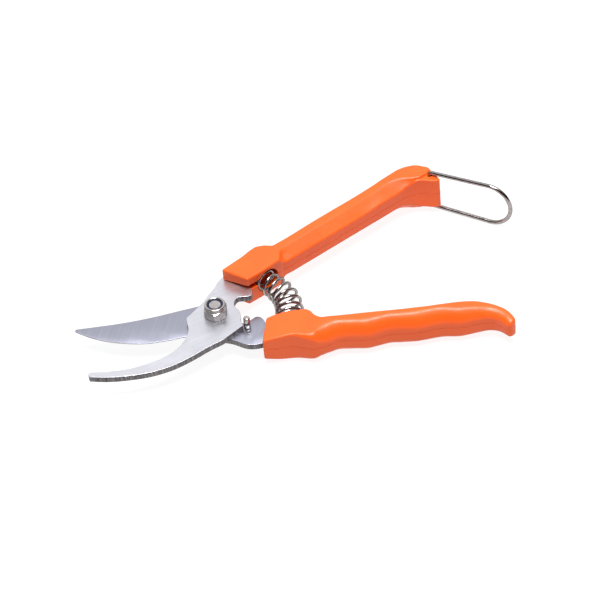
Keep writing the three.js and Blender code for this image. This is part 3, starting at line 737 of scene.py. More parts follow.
@dataclass
class Pivot:
    """Bolt, washer, lock nut and its nylon ring, all on the Z axis."""

    levels: Levels
    finishes: Finishes
    flats: float = 10.0
    corner_angle: float = 12.0
    collar_radius: float = 4.8
    collar_wall: float = 0.7
    collar_height: float = 2.0
    bolt_radius: float = 3.0
    thread_pitch: float = 1.0
    thread_depth: float = 0.32

    def hexagon_radius(self, sides: int = 240) -> tuple[Array, Array]:
        """Angle and reach of a hexagon with softened corners.

        The reach is half the flats over cos of the angle from the nearest flat's middle, blended with a
        slightly smaller circle by a power mean so that the corners are a little round.
        """
        a = np.linspace(0, 2 * math.pi, sides, endpoint=False)
        turn = np.radians(self.corner_angle)
        off = (a - turn) % (math.pi / 3) - math.pi / 6
        reach = self.flats / 2 / np.cos(off)
        circle = self.flats / math.sqrt(3) * 0.985
        power = 60.0
        return a, (reach**-power + circle**-power) ** (-1 / power)

    def hexagon_rings(self, low: float, high: float, chamfers: tuple[float, float]) -> Array:
        """Rings of a hexagon whose ends are turned to a 30 degree cone.

        At each height the reach is the smaller of the hexagon's and the cone's, where the cone starts at
        0.95 of the flats and widens by 1.73 for each unit of depth.
        """
        a, reach = self.hexagon_radius()
        share = 0.5 - 0.5 * np.cos(np.linspace(0, math.pi, 41))
        z = low + (high - low) * share
        start = self.flats / 2 * 0.93
        cone_low = np.where(chamfers[0] > 0, start + (z - low) * 1.73, 99)
        cone_high = np.where(chamfers[1] > 0, start + (high - z) * 1.73, 99)
        r = np.minimum(reach[None], np.minimum(cone_low, cone_high)[:, None])
        x, y = r * np.cos(a), r * np.sin(a)
        return np.stack([x, y, np.broadcast_to(z[:, None], x.shape)], axis=-1)

    def ring_on(self, r: Array | float, z: float, sides: int) -> Array:
        """One level ring of the given radii."""
        a = np.linspace(0, 2 * math.pi, sides, endpoint=False)
        r = np.broadcast_to(r, a.shape)
        return np.stack([r * np.cos(a), r * np.sin(a), np.full_like(a, z)], axis=-1)

    def lock_nut(self) -> None:
        """Hexagon, rolled collar, the collar's bore down to the ring's seat and the bolt's bore below it."""
        low, top = (c.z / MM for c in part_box("lock_nut"))
        shoulder = top - self.collar_height
        hexagon = self.hexagon_rings(low, shoulder, (1, 1))
        sides = hexagon.shape[1]
        c, wall, bore = self.collar_radius, self.collar_wall, self.bolt_radius + 0.04
        outside = [(c + 0.08, shoulder + 0.02), (c, shoulder + 0.2), (c, top - 0.75),
                   *arc_profile((c - 0.62, top - 0.62), 0.62, 5, 178, 14), (c - 1.24, top - 0.8),
                    (c - wall, top - 0.9)]
        inside = [(c - wall, shoulder - 0.5), (c - wall - 0.05, shoulder - 0.6), (bore, shoulder - 0.6),
                  (bore, low + 0.4), (bore + 0.35, low)]
        rings = np.concatenate([hexagon, np.stack([self.ring_on(r, z, sides) for r, z in outside + inside])])
        piece = closed_tube("lock_nut_fine", rings, [self.finishes.nickel])
        piece.data.set_sharp_from_angle(angle=math.radians(28))
        finished(piece, "hook_side", "bright_steel", "lock_nut")

    def nylon_ring(self) -> None:
        """Ring with a rounded upper rim, swelling inwards where the bolt has pressed it."""
        low, top = (c.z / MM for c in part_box("lock_nut_nylon_ring"))
        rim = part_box("lock_nut")[1].z / MM
        outer, inner = self.collar_radius - self.collar_wall - 0.05, self.bolt_radius + 0.05
        neck, top = self.collar_radius - 1.28, min(top, rim - 0.3)
        profile = [(outer, low), (outer, rim - 0.95), (neck, rim - 0.85), (neck, top - 0.1),
                   (neck - 0.1, top),
                   (inner + 0.1, top), (inner, top - 0.12), (inner, low)]
        piece = closed_tube("nylon_ring_fine", revolved(profile, sides=96), [self.finishes.nylon])
        piece.data.set_sharp_from_angle(angle=math.radians(50))
        finished(piece, "hook_side", "nylon", "lock_nut_nylon_ring")

    def pivot_washer(self) -> None:
        """Flat washer with small rounded rims."""
        low, top = (c.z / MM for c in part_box("pivot_washer"))
        outer, inner, r = 6.0, self.bolt_radius + 0.2, 0.2
        profile = [(inner + r, low), (outer - r, low), *arc_profile((outer - r, low + r), r, -70, 0, 4),
                   *arc_profile((outer - r, top - r), r, 0, 80, 4), (inner + r, top), (inner, top - r),
                   (inner, low + r)]
        piece = closed_tube("pivot_washer_fine", revolved(profile, sides=120), [self.finishes.nickel])
        piece.data.set_sharp_from_angle(angle=math.radians(40))
        finished(piece, "hook_side", "bright_steel", "pivot_washer")

    def pivot_bolt(self) -> None:
        """Hexagon head, plain shank and a threaded end.

        The thread is r = R - depth * (1 - |saw|), where saw runs once through a pitch and once round the
        bolt, faded out at the shank and cut by the end's cone.
        """
        low, end = (c.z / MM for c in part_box("pivot_bolt"))
        head = self.hexagon_rings(low, low + 4.0, (1, 1))
        sides = head.shape[1]
        a = np.linspace(0, 2 * math.pi, sides, endpoint=False)
        z = np.linspace(low + 4.0, end - 0.02, 150)[:, None]
        saw = np.abs(((z / self.thread_pitch - a / (2 * math.pi)) % 1.0) * 2 - 1)
        fade = ease(z, self.levels.counter[1] - 0.6, self.levels.counter[1] + 0.4)
        r = self.bolt_radius - self.thread_depth * (1 - saw) * fade
        r = np.minimum(r, self.bolt_radius - 0.4 + (end - z) * 1.2)
        shank = np.stack([r * np.cos(a), r * np.sin(a), np.broadcast_to(z, r.shape)], axis=-1)
        steps = ((2.3, end), (1.5, end - 0.12), (0.7, end - 0.3))
        dimple = [self.ring_on(x, h, sides)[None] for x, h in steps]
        rings = np.concatenate([head, shank, *dimple])
        piece = lofted("pivot_bolt_fine", rings, [self.finishes.nickel])
        piece.data.set_sharp_from_angle(angle=math.radians(34))
        finished(piece, "hook_side", "bright_steel", "pivot_bolt")

    def build(self) -> None:
        """Makes the pivot's pieces."""
        self.lock_nut()
        self.nylon_ring()
        self.pivot_washer()
        self.pivot_bolt()


# ---- Moulded handles -----------------------------------------------------------------------------


@dataclass(frozen=True)
class Station:
    """One cross-section of a shell, from its near edge to its far edge.

    Attributes:
        near: plan point of the edge that looks at the reader.
        far: plan point of the opposite edge.
        wall: height of the near wall above the parting plane.
        step: distance in from the near edge, and height, where the surface begins its last rise.
        crest: distance in from the near edge, and height, where the flat top begins.
        top: height of the far edge of the flat top.
    """

    near: tuple[float, float]
    far: tuple[float, float]
    wall: float
    step: tuple[float, float]
    crest: tuple[float, float]
    top: float

    def row(self) -> list[float]:
        """The station's numbers in one row."""
        return [*self.near, *self.far, self.wall, *self.step, *self.crest, self.top]


def block(near: tuple[float, float], far: tuple[float, float], top: float, soft: float = 0.9) -> Station:
    """A station with upright walls and a flat top, its near rim cut back by soft."""
    return Station(near, far, top - soft, (soft * 0.35, top - soft * 0.35), (soft, top), top)


@dataclass
class Shell:
    """Half of a moulded handle: cross-sections carried along the handle between its two plan edges."""

    stations: list[Station]
    seam: float = 0.05
    end_round: float = 0.8
    corner_steps: int = 6
    setbacks: tuple[float, ...] = (0.1, 0.6, 0.6, 0.8, 0.9, 0.1)
    support: float = 0.14

    def sections(self) -> tuple[Array, Array, Array, Array]:
        """Stations interpolated along the shell, closer together at its ends.

        Returns:
            Near points, far points, corner rows and the end inset of each cross-section.
        """
        rows = np.array([s.row() for s in self.stations], float)
        middle = (rows[:, :2] + rows[:, 2:4]) / 2
        knots = np.concatenate([[0], np.cumsum(np.linalg.norm(np.diff(middle, axis=0), axis=1))])
        length, r = knots[-1], self.end_round
        turn = np.linspace(0, math.pi / 2, 7)
        body = np.linspace(r, length - r, int(length / 0.6))[1:-1]
        at = np.concatenate([r * (1 - np.cos(turn)), body, length - r * (1 - np.cos(turn[::-1]))])
        d = np.minimum(at, length - at)
        inset = r - np.sqrt(np.maximum(r**2 - np.maximum(r - d, 0) ** 2, 0))
        made = monotone(knots, rows, at)
        return made[:, :2], made[:, 2:4], made[:, 4:], inset

    def corners(self, near: Array, far: Array, rest: Array) -> Array:
        """The six corners (distance in, height) of each cross-section."""
        width = np.linalg.norm(far - near, axis=1)
        zero = np.zeros_like(width)
        wall, step_in, step_up, crest_in, crest_up, top = rest.T
        seam = zero + self.seam
        pairs = [
            (zero, seam), (zero, wall), (step_in, step_up), (crest_in, crest_up), (width, top), (width, seam),
        ]
        return np.stack([np.stack(pair, axis=-1) for pair in pairs], axis=1)

    def rounded(self, corners: Array) -> Array:
        """Each corner replaced by a curve.

        The curve leaves the side before the corner and joins the side after it at a set distance, by
        (1 - t)^2 A + 2 t (1 - t) C + t^2 B, with one supporting point beyond each end.
        """
        before = np.roll(corners, 1, axis=1) - corners
        after = np.roll(corners, -1, axis=1) - corners
        long_before = np.linalg.norm(before, axis=-1, keepdims=True)
        long_after = np.linalg.norm(after, axis=-1, keepdims=True)
        setback = np.array(self.setbacks)[None, :, None]
        cut_before = np.minimum(setback, 0.42 * long_before)
        cut_after = np.minimum(setback, 0.42 * long_after)
        a = corners + before / long_before * cut_before
        b = corners + after / long_after * cut_after
        extra = np.minimum(self.support, 0.06 * np.minimum(long_before, long_after))
        lead = a + before / long_before * extra
        tail = b + after / long_after * extra
        t = np.linspace(0, 1, self.corner_steps)[None, None, :, None]
        curve = (1 - t) ** 2 * a[:, :, None] + 2 * t * (1 - t) * corners[:, :, None] + t**2 * b[:, :, None]
        full = np.concatenate([lead[:, :, None], curve, tail[:, :, None]], axis=2)
        return full.reshape(len(corners), -1, 2)

    def rings(self, mid: float, side: int) -> Array:
        """Rings of the shell in space.

        A section point (d, h) goes to near + d * across, at mid + side * h. At both ends the section shrinks
        along its own normals by r - sqrt(r^2 - (r - x)^2), x being the distance from the end.
        """
        near, far, rest, inset = self.sections()
        flat = self.rounded(self.corners(near, far, rest))
        along = unit(np.roll(flat, -1, axis=1) - np.roll(flat, 1, axis=1))
        normal = np.stack([along[..., 1], -along[..., 0]], axis=-1)
        centre = flat.mean(axis=1, keepdims=True)
        sign = np.sign(np.sum(normal * (flat - centre), axis=(1, 2), keepdims=True))
        normal = -normal * sign
        normal[..., 1] = np.where(flat[..., 1] < self.seam + 0.4, 0, normal[..., 1])
        flat = flat + normal * inset[:, None, None]
        across = unit(far - near)
        plan = near[:, None] + flat[..., :1] * across[:, None]
        return np.concatenate([plan, mid + side * flat[..., 1:]], axis=-1)

    def build(self, name: str, mid: float, side: int, material: bpy.types.Material) -> bpy.types.Object:
        """The shell as an object, above the parting plane for side 1 and below it for side -1."""
        return lofted(name, self.rings(mid, side), [material])


def prism(name: str, plan: Array, low: Array | float, high: Array | float) -> bpy.types.Object:
    """An upright cutter over a plan, between two heights that may differ from corner to corner."""
    ends = [np.column_stack([plan, np.broadcast_to(z, len(plan))]) for z in (low, high)]
    return lofted(name, np.stack(ends), [])


def drill(name: str, start: Array, direction: Array, radius: float, length: float) -> bpy.types.Object:
    """A round cutter along a direction, with a small countersink at its start."""
    ends = np.array([0.0, 0.35, length])
    radii = np.array([radius + 0.35, radius, radius])
    line = start + direction * ends[:, None]
    reference = np.array([0.0, 0.0, 1.0]) if abs(direction[2]) < 0.9 else np.array([1.0, 0.0, 0.0])
    s = unit(np.cross(direction, reference))
    b = np.cross(direction, s)
    a = np.linspace(0, 2 * math.pi, 64, endpoint=False)[None, :, None]
    return lofted(name, line[:, None] + radii[:, None, None] * (np.cos(a) * s + np.sin(a) * b), [])


@dataclass
class UpperHandle:
    """Straight handle: front block over the counter blade, sloped bar, raised end with the bail's ledges."""

    levels: Levels
    finishes: Finishes
    blades: Blades
    half: float = 8.0
    half_end: float = 9.7
    ledge: float = 1.3
    slope_wall: float = 4.1
    slope_in: float = 5.7
    pocket_mouth: tuple[float, float] = (28.4, 16.2)
    pocket_heading: float = -66.0
    pocket_radius: float = 6.1
    pocket_depth: float = 4.0
    bail_at: tuple[float, float] = (117.6, 51.4)
    bail_hole: float = 1.25
    play: float = 0.2

    def front(self) -> list[Station]:
        """Cross-sections of the block and of the scoop in which the slope begins."""
        h = self.half
        return [
            block((18.1, 10.9), (8.5, 21.25), h),
            block((23.0, 12.9), (15.4, 24.8), h),
            block((26.3, 14.3), (19.4, 26.85), h),
            block((30.4, 16.3), (24.8, 30.2), h),
            block((33.4, 17.9), (27.6, 31.3), h),
            Station((35.3, 18.9), (31.0, 31.0), 7.1, (0.32, 7.7), (0.95, h), h),
            Station((36.1, 19.35), (33.0, 30.2), 6.4, (0.5, 7.1), (1.3, h), h),
            Station((36.9, 19.9), (34.8, 29.6), 5.1, (0.9, 6.0), (2.4, h), h),
            Station((38.4, 20.4), (36.5, 30.1), 4.0, (2.6, 5.7), (5.0, h), h),
            Station((40.0, 20.95), (38.1, 30.8), 3.9, (2.7, 5.85), (5.5, h), h),
        ]

    def bar(self) -> list[Station]:
        """Cross-sections of the straight bar with its even slope."""
        middle = (self.slope_in / 2, (self.slope_wall + self.half) / 2)
        shape = (self.slope_wall, middle, (self.slope_in, self.half))
        ends = [((42.2, 21.9), (40.0, 31.5)), ((60, 29.6), (57, 39.2)), ((80, 38.25), (77, 47.8))]
        return [Station(near, far, *shape, self.half) for near, far in ends]

    def rise(self, side: int) -> list[Station]:
        """Cross-sections where the slope fades out; the wall stays lower on the underside."""
        walls = (4.9, 4.9, 5.2, 6.5, 7.6) if side > 0 else (4.1, 4.0, 4.2, 5.2, 6.5)
        return [
            Station((92, 43.4), (89, 52.9), walls[0], (2.9, 6.5), (5.7, 8.35), 8.4),
            Station((98, 46.0), (95, 55.4), walls[1], (3.0, 6.9), (5.9, 8.9), 9.0),
            Station((102.5, 47.8), (99.8, 57.3), walls[2], (2.6, 7.2), (5.0, 9.2), 9.4),
            Station((106, 48.8), (104.2, 59.0), walls[3], (1.7, 7.8), (3.4, 9.4), 9.6),
            Station((109.5, 49.3), (108.2, 59.6), walls[4], (0.7, 8.3), (1.5, 9.5), self.half_end),
        ]

    def end(self) -> list[Station]:
        """Cross-sections of the raised end: a ledge up to the rim, a step, and the flat top."""
        top, low = self.half_end, self.half_end - self.ledge
        rims = [
            ((112.2, 49.0), (111.2, 59.5), 0.9),
            ((114.6, 48.1), (113.8, 58.7), 2.6),
            ((117.0, 46.9), (116.2, 57.0), 4.7),
            ((118.9, 46.3), (117.8, 55.9), 6.6),
        ]
        made = [Station(near, far, low, (rim, low), (rim + 0.4, top), top) for near, far, rim in rims]
        made.append(Station((120.4, 46.3), (118.9, 54.4), low, (3.6, low), (6.9, low + 0.05), low + 0.3))
        made.append(Station((121.5, 46.9), (119.5, 53.3), low, (3.0, low), (5.4, low), low))
        return made

    def blade_room(self, name: str) -> bpy.types.Object:
        """Cutter for the blade's tang and for the plate where it enters the front face."""
        plan = np.array(
            [[18, 4], [20.6, 7], [19.7, 12], [19.25, 16.8], [32.1, 23.6], [44.3, 27.0], [42.5, 32.7],
             [23.9, 27.65], [8.5, 23.75], [4.0, 20.0]]
        )
        low, high = self.levels.counter
        return prism(name, plan, low - self.play, high + self.play)

    def slot_mouth(self, name: str) -> bpy.types.Object:
        """Cutter that opens the slot over the blade, higher at the handle's inner corner."""
        high = self.levels.counter[1]
        plan = np.array([[19.9, 8.0], [25.6, 14.6], [19.0, 24.6], [11.6, 24.4], [6.0, 19.0]])
        rise = np.array([2.6, 2.2, 0.9, 0.3, 0.5])
        return prism(name, plan, high - 1.0, high + rise)

    def pocket(self, name: str) -> bpy.types.Object:
        """Cutter for the spring's pocket, from outside the near wall to its flat bottom."""
        direction = heading(self.pocket_heading)
        mouth = np.array([*self.pocket_mouth, self.levels.mid_upper])
        return drill(name, mouth + direction * 5, -direction, self.pocket_radius, self.pocket_depth + 5)

    def bail_holes(self, name: str, side: int) -> bpy.types.Object:
        """Cutter for the hole that takes one turned-in end of the bail."""
        top = self.levels.mid_upper + side * (self.half_end - self.ledge + 0.02)
        start, inwards = np.array([*self.bail_at, top]), np.array([0, 0, -float(side)])
        return drill(name, start, inwards, self.bail_hole, 6.0)

    def build(self) -> None:
        """Makes both shells and cuts what goes into them."""
        for side, place in ((1, "top"), (-1, "bottom")):
            shell = Shell(self.front() + self.bar() + self.rise(side) + self.end())
            name = f"upper_{place}_shell_fine"
            piece = shell.build(name, self.levels.mid_upper, side, self.finishes.plastic)
            cutters = [self.blade_room("room"), self.pocket("pocket"), self.bail_holes("hole", side)]
            if side > 0:
                cutters.append(self.slot_mouth("mouth"))
            cut(piece, cutters)
            finished(piece, "hook_side", "orange_plastic", f"upper_handle_{place}_shell")


@dataclass
class LowerHandle:
    """Handle with finger grooves: front block over the cutting blade, rounded grip, hooked tip."""

    levels: Levels
    finishes: Finishes
    blades: Blades
    half: float = 9.0
    seat: tuple[float, float] = (31.2, -11.4)
    seat_heading: float = -94.6
    boss_radius: float = 4.4
    boss_height: float = 2.8
    play: float = 0.2

    def front(self) -> list[Station]:
        """Cross-sections of the front block, which thickens away from the blades."""
        return [
            block((15.3, -25.1), (21.0, -10.5), 5.75, 0.8),
            block((18.8, -25.7), (24.4, -10.5), 6.5, 0.8),
            block((22.7, -26.35), (28.0, -10.8), 7.2, 0.8),
            block((28.5, -27.1), (32.4, -11.5), 7.8, 0.9),
        ]

    def grip(self) -> list[tuple]:
        """Outer point, inner point, half thickness, share of the full shoulder and wall below the seam."""
        h = self.half
        return [
            ((32.4, -29.3), (35.9, -12.4), 8.0, 0.15, 5.9),
            ((35.6, -31.2), (38.5, -12.9), 8.15, 0.28, 5.6),
            ((38.2, -32.2), (40.5, -14.9), 8.35, 0.52, 5.1),
            ((40.6, -32.1), (41.5, -18.0), 8.5, 0.8, 4.6),
            ((44.5, -31.8), (44.0, -20.9), 8.8, 1.0, 4.3),
            ((49.3, -31.0), (47.8, -21.9), h, 1.0, 4.5),
            ((56.0, -32.6), (55.0, -23.4), h, 0.95, 4.7),
            ((63.5, -34.6), (63.0, -24.9), h, 0.95, 4.8),
            ((71.5, -34.3), (71.5, -26.6), h, 0.85, 4.8),
            ((78.0, -35.8), (77.8, -27.9), h, 0.9, 5.0),
            ((85.3, -37.4), (85.0, -29.2), h, 0.95, 5.2),
            ((94.6, -38.0), (94.6, -30.8), h, 0.9, 5.3),
            ((105.0, -40.9), (105.5, -31.9), 8.5, 0.9, 5.2),
            ((110.7, -41.2), (111.8, -33.1), 8.0, 0.78, 5.0),
            ((115.6, -41.9), (117.2, -35.1), 7.2, 0.66, 4.5),
            ((119.0, -43.4), (121.5, -38.0), 6.6, 0.62, 4.3),
            ((121.1, -46.0), (124.9, -41.3), 6.0, 0.6, 3.7),
            ((122.3, -48.1), (126.5, -44.4), 5.5, 0.5, 3.6),
            ((123.4, -49.5), (127.2, -46.7), 4.9, 0.38, 3.8),
            ((124.8, -50.0), (127.4, -47.9), 4.4, 0.2, 3.6),
        ]

    def grip_station(self, near: tuple, far: tuple, half: float, share: float) -> Station:
        """A station between upright walls (share 0) and the grip's full shoulder (share 1)."""
        wall = half - 1 + (1 - half * 0.67) * share
        step = (0.35 + 1.95 * share, half - 0.35 + (0.35 - half * 0.24) * share)
        return Station(near, far, wall, step, (1 + 3.9 * share, half), half)

    def under_station(self, near: tuple, far: tuple, half: float, share: float, wall: float) -> Station:
        """A station of the lower shell: an upright wall, then a round underside."""
        reach = 0.5 + 2.2 * share
        return Station(near, far, wall, (reach, wall + (half - wall) * 0.62), (reach * 1.9, half), half)

    def shells(self) -> dict[int, Shell]:
        """The upper shell with its sloped shoulder, and the rounder lower shell."""
        top = self.front() + [self.grip_station(*row[:4]) for row in self.grip()]
        low = self.front() + [self.under_station(*row) for row in self.grip()]
        return {
            1: Shell(top, setbacks=(0.1, 2.2, 2.2, 1.9, 1.3, 0.1)),
            -1: Shell(low, setbacks=(0.1, 1.6, 1.8, 1.6, 1.3, 0.1)),
        }

    def blade_room(self, name: str) -> bpy.types.Object:
        """Cutter for the blade's tang and for the plate where it enters the front face."""
        plan = np.array(
            [[8, -22.2], [15, -22.3], [19, -21.7], [30, -20.1], [44.2, -24.95], [46.1, -18.9], [30, -13.55],
             [21.6, -12.0], [20.8, -8.8], [14, -5]]
        )
        low, high = self.levels.cutting
        return prism(name, plan, low - self.play, high + self.play)

    def boss(self) -> None:
        """The moulded boss under the spring's last turn: a stub with a rounded rim, square to the face."""
        out = -heading(self.seat_heading)
        root = np.array([*self.seat, self.levels.mid_lower]) - out * 1.0
        h, r = self.boss_height + 1.0, self.boss_radius
        reach = np.array([0, h - 0.7, h - 0.45, h - 0.2, h - 0.05, h])
        radii = np.array([r, r, r - 0.06, r - 0.22, r - 0.48, r - 0.75])
        s = np.array([0.0, 0.0, 1.0])
        b = np.cross(out, s)
        a = np.linspace(0, 2 * math.pi, 64, endpoint=False)[None, :, None]
        circle = np.cos(a) * s + np.sin(a) * b
        rings = (root + out * reach[:, None])[:, None] + radii[:, None, None] * circle
        piece = lofted("spring_boss_fine", rings, [self.finishes.plastic])
        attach(piece, "blade_side")

    def build(self) -> None:
        """Makes both shells and the boss."""
        for side, place in ((1, "top"), (-1, "bottom")):
            shell = self.shells()[side]
            name = f"lower_{place}_shell_fine"
            piece = shell.build(name, self.levels.mid_lower, side, self.finishes.plastic)
            cut(piece, [self.blade_room("room")])
            finished(piece, "blade_side", "orange_plastic", f"lower_handle_{place}_shell")
        self.boss()


# ---- Spring and bail -----------------------------------------------------------------------------


@dataclass
class ReturnSpring:
    """Flared compression spring, bent between its pocket and its seat."""

    levels: Levels
    finishes: Finishes
    wire: float = 0.7
    small: float = 4.3
    large: float = 6.0
    flare: float = 2.4
    turns: float = 9.5
    per_turn: int = 48
    top: tuple[float, float] = (28.4, 16.2)
    top_heading: float = -66.0
    foot: tuple[float, float] = (31.2, -11.4)
    foot_heading: float = -94.6
    depth: float = 3.1
    belly: Points = field(
        default_factory=lambda: [(29, 13.8), (31.3, 9.4), (33.1, 5.2), (33.8, 0.4), (33.1, -5)]
    )

    def axis(self) -> Array:
        """The bent centre line, sampled evenly."""
        start = np.array(self.top) - heading(self.top_heading)[:2] * self.depth
        end = np.array(self.foot) - heading(self.foot_heading)[:2] * (self.wire + 0.25)
        route = np.array([start, *self.belly, end])
        z = np.linspace(self.levels.mid_upper, self.levels.mid_lower, len(route))
        return evenly(smooth_run(np.column_stack([route, z]).tolist(), 40), 400)

    def build(self) -> None:
        """Sweeps the wire.

        The wire's centre is axis + R (cos a * side + sin a * up). R grows as 1 - (1 - s)^flare, the angle a
        runs evenly, and the place s along the axis runs slowly in the closed end turns.
        """
        t = np.linspace(0, 1, int(self.turns * self.per_turn))
        axis = self.axis()
        length = np.linalg.norm(np.diff(axis, axis=0), axis=1).sum()
        closed, rise = 1.05 / self.turns, 2 * self.wire * 1.08 / length
        s = np.interp(t, [0, closed, 1 - closed, 1], [0, rise, 1 - rise, 1])
        at = s * (len(axis) - 1)
        centre = np.column_stack([np.interp(at, np.arange(len(axis)), axis[:, k]) for k in range(3)])
        tangent = unit(np.gradient(axis, axis=0))
        along = np.column_stack([np.interp(at, np.arange(len(axis)), tangent[:, k]) for k in range(3)])
        square = ease(s, 0.75, 1.0)[:, None]
        along = unit(along * (1 - square) + heading(self.foot_heading) * square)
        side = unit(np.cross([0.0, 0.0, 1.0], along))
        up = np.cross(along, side)
        radius = (self.small + (self.large - self.small) * (1 - (1 - s) ** self.flare))[:, None]
        a = (2 * math.pi * self.turns * t)[:, None]
        outwards = np.cos(a) * side + np.sin(a) * up
        line = centre + radius * outwards
        rings = round_wire_ends(swept_wire(line, outwards, self.wire, 14), line, self.wire)
        piece = lofted("spring_fine", rings, [self.finishes.wire])
        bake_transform(piece)
        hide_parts("spring")
        LOG.info("spring_fine: %d faces", len(piece.data.polygons))


@dataclass
class WireBail:
    """U of wire in an upright plane, its ends turned in towards each other."""

    levels: Levels
    finishes: Finishes
    at: tuple[float, float] = (117.6, 51.4)
    heading: float = -40.9
    wire: float = 1.0
    leg: float = 30.3
    length: float = 41.0
    half_near: float = 10.1
    half_far: float = 11.1
    bend: float = 1.6
    hook: float = 6.0
    drop: float = 0.3

    def half_line(self) -> Array:
        """(distance out, height) from a turned-in tip to the loop's middle.

        A straight end, a quarter circle of the bend's radius, a straight leg that spreads, and a quarter of
        an ellipse.
        """
        near, far, bend = self.half_near, self.half_far, self.bend
        turn = np.linspace(0, math.pi / 2, 14)
        end = np.column_stack([np.zeros(8), np.linspace(near - self.hook, near - bend, 8, endpoint=False)])
        corner = np.column_stack([bend * (1 - np.cos(turn)), near - bend * (1 - np.sin(turn))])
        share = np.linspace(0, 1, 30)[1:, None]
        leg = np.array([[bend, near]]) * (1 - share) + np.array([[self.leg, far]]) * share
        turn = np.linspace(0, math.pi / 2, 40)[1:]
        loop = np.column_stack([self.leg + (self.length - self.leg) * np.sin(turn), far * np.cos(turn)])
        return np.concatenate([end, corner, leg, loop])

    def build(self) -> None:
        """Sweeps the wire with its side direction square to the bail's plane."""
        half = self.half_line()
        both = np.concatenate([half, (half * [1, -1])[-2::-1]])
        both = evenly(both, 360)
        out = heading(self.heading)
        origin = np.array([*self.at, self.levels.mid_upper - self.drop])
        line = origin + both[:, :1] * out + both[:, 1:] * np.array([0, 0, 1.0])
        side = np.broadcast_to(np.cross(out, [0, 0, 1.0]), line.shape)
        rings = round_wire_ends(swept_wire(line, side, self.wire - 0.01, 20), line, self.wire)
        piece = lofted("wire_bail_fine", rings, [self.finishes.wire])
        finished(piece, "bail", "spring_steel", "wire_bail")


# ---- Studio --------------------------------------------------------------------------------------


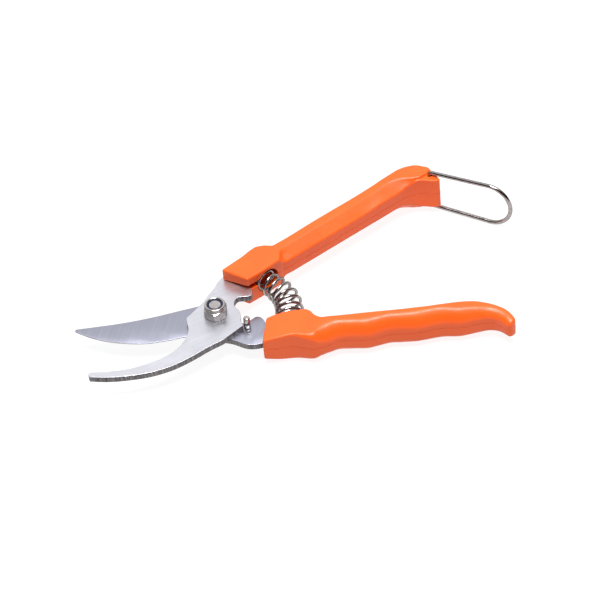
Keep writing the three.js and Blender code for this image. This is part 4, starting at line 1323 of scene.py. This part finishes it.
@dataclass
class Studio:
    """Pale floor, soft light and the camera."""

    lowest: float
    azimuth: float = -11.5
    elevation: float = 43.5
    roll: float = 5.5
    distance: float = 1.3636
    focal: float = 180.0
    aim: tuple[float, float, float] = (0.0, 0.0, 0.01195)
    aim_offset: tuple[float, float] = (-0.028, -0.004867)
    sky_axis: tuple[float, float, float] = (0.14, 0.72, 0.68)

    def floor(self) -> None:
        """A large pale sheet just under the tool."""
        reach = 3.0
        corners = [(-reach, -reach), (reach, -reach), (reach, reach), (-reach, reach)]
        mesh = bpy.data.meshes.new("floor")
        mesh.from_pydata([(x, y, self.lowest - 0.0001) for x, y in corners], [], [(0, 1, 2, 3)])
        n = Nodes("pale floor")
        n.constants(Roughness=0.8, Emission_Strength=0.9)
        n.shader.inputs["Base Color"].default_value = (0.1, 0.1, 0.1, 1)
        n.shader.inputs["Emission Color"].default_value = (1, 1, 1, 1)
        mesh.materials.append(n.material)
        floor = bpy.data.objects.new("floor", mesh)
        bpy.context.scene.collection.objects.link(floor)
        floor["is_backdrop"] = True

    def light(
        self, name: str, place: tuple, size: tuple[float, float], watts: float, tint: tuple = (1, 1, 1)
    ) -> None:
        """A rectangular soft light that faces the tool's middle."""
        data = bpy.data.lights.new(name, "AREA")
        data.shape = "RECTANGLE"
        data.size, data.size_y = size
        data.energy = watts
        data.color = tint
        lamp = bpy.data.objects.new(name, data)
        at = np.array(place, float)
        back = unit(at - np.array([0.03, 0.0, 0.0]))
        right = unit(np.cross([0.0, 1.0, 0.0] if abs(back[2]) > 0.95 else [0.0, 0.0, 1.0], back))
        turn = np.column_stack([right, np.cross(back, right), back])
        lamp.matrix_world = Matrix.Translation(at) @ Matrix(turn.tolist()).to_4x4()
        bpy.context.scene.collection.objects.link(lamp)

    def sky(self) -> None:
        """Even light from above and behind, falling off to a darker room in front."""
        world = bpy.data.worlds.new("studio")
        bpy.context.scene.world = world
        world.use_nodes = True
        tree = world.node_tree
        place = tree.nodes.new("ShaderNodeTexCoord")
        ramp = tree.nodes.new("ShaderNodeValToRGB")
        aim = tree.nodes.new("ShaderNodeVectorMath")
        aim.operation = "DOT_PRODUCT"
        aim.inputs[1].default_value = unit(np.array(self.sky_axis)).tolist()
        tree.links.new(place.outputs["Generated"], aim.inputs[0])
        tree.links.new(aim.outputs["Value"], ramp.inputs["Fac"])
        ramp.color_ramp.elements[0].position = 0.3
        ramp.color_ramp.elements[0].color = (0.03, 0.03, 0.032, 1)
        ramp.color_ramp.elements[1].position = 0.85
        ramp.color_ramp.elements[1].color = (0.98, 0.98, 1.0, 1)
        background = tree.nodes["Background"]
        background.inputs["Strength"].default_value = 1.0
        tree.links.new(ramp.outputs["Color"], background.inputs["Color"])

    def camera(self) -> None:
        """The camera, turned by azimuth, elevation and roll, with the pivot a little off the middle."""
        a, e, r = (math.radians(v) for v in (self.azimuth, self.elevation, self.roll))
        back = np.array([math.sin(a) * math.cos(e), -math.cos(a) * math.cos(e), math.sin(e)])
        right = unit(np.cross([0.0, 0.0, 1.0], back))
        up = np.cross(back, right)
        right, up = right * math.cos(r) - up * math.sin(r), up * math.cos(r) + right * math.sin(r)
        x, y = self.aim_offset
        at = np.array(self.aim) - (right * x + up * y - back) * self.distance
        data = bpy.data.cameras.new("camera")
        data.sensor_width = 36.0
        data.lens = self.focal
        camera = bpy.data.objects.new("camera", data)
        turn = Matrix(np.column_stack([right, up, back]).tolist()).to_4x4()
        camera.matrix_world = Matrix.Translation(at) @ turn
        bpy.context.scene.collection.objects.link(camera)
        bpy.context.scene.camera = camera

    def build(self) -> None:
        """Sets up floor, lights, sky and camera."""
        self.floor()
        self.light("overhead", (0.05, -0.25, 1.45), (0.8, 0.6), 34)
        self.sky()
        self.camera()
        bpy.context.scene.view_settings.view_transform = "Standard"


# ---- Main ----------------------------------------------------------------------------------------


def corners_of(box: tuple) -> list[list[float]]:
    """A box's two corners as plain lists."""
    return [[round(float(v), 6) for v in corner] for corner in box]


def main() -> None:
    """Builds the tool round the frame, then the studio."""
    logging.basicConfig(level=logging.INFO, format="%(name)s: %(message)s")
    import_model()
    cad_box = corners_of(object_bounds())
    levels = Levels.read()
    finishes = Finishes()
    blades = Blades(levels, finishes)
    blades.build()
    Pivot(levels, finishes).build()
    UpperHandle(levels, finishes, blades).build()
    LowerHandle(levels, finishes, blades).build()
    ReturnSpring(levels, finishes).build()
    WireBail(levels, finishes).build()
    Studio(lowest=cad_box[0][2]).build()


if __name__ == "__main__":
    main()
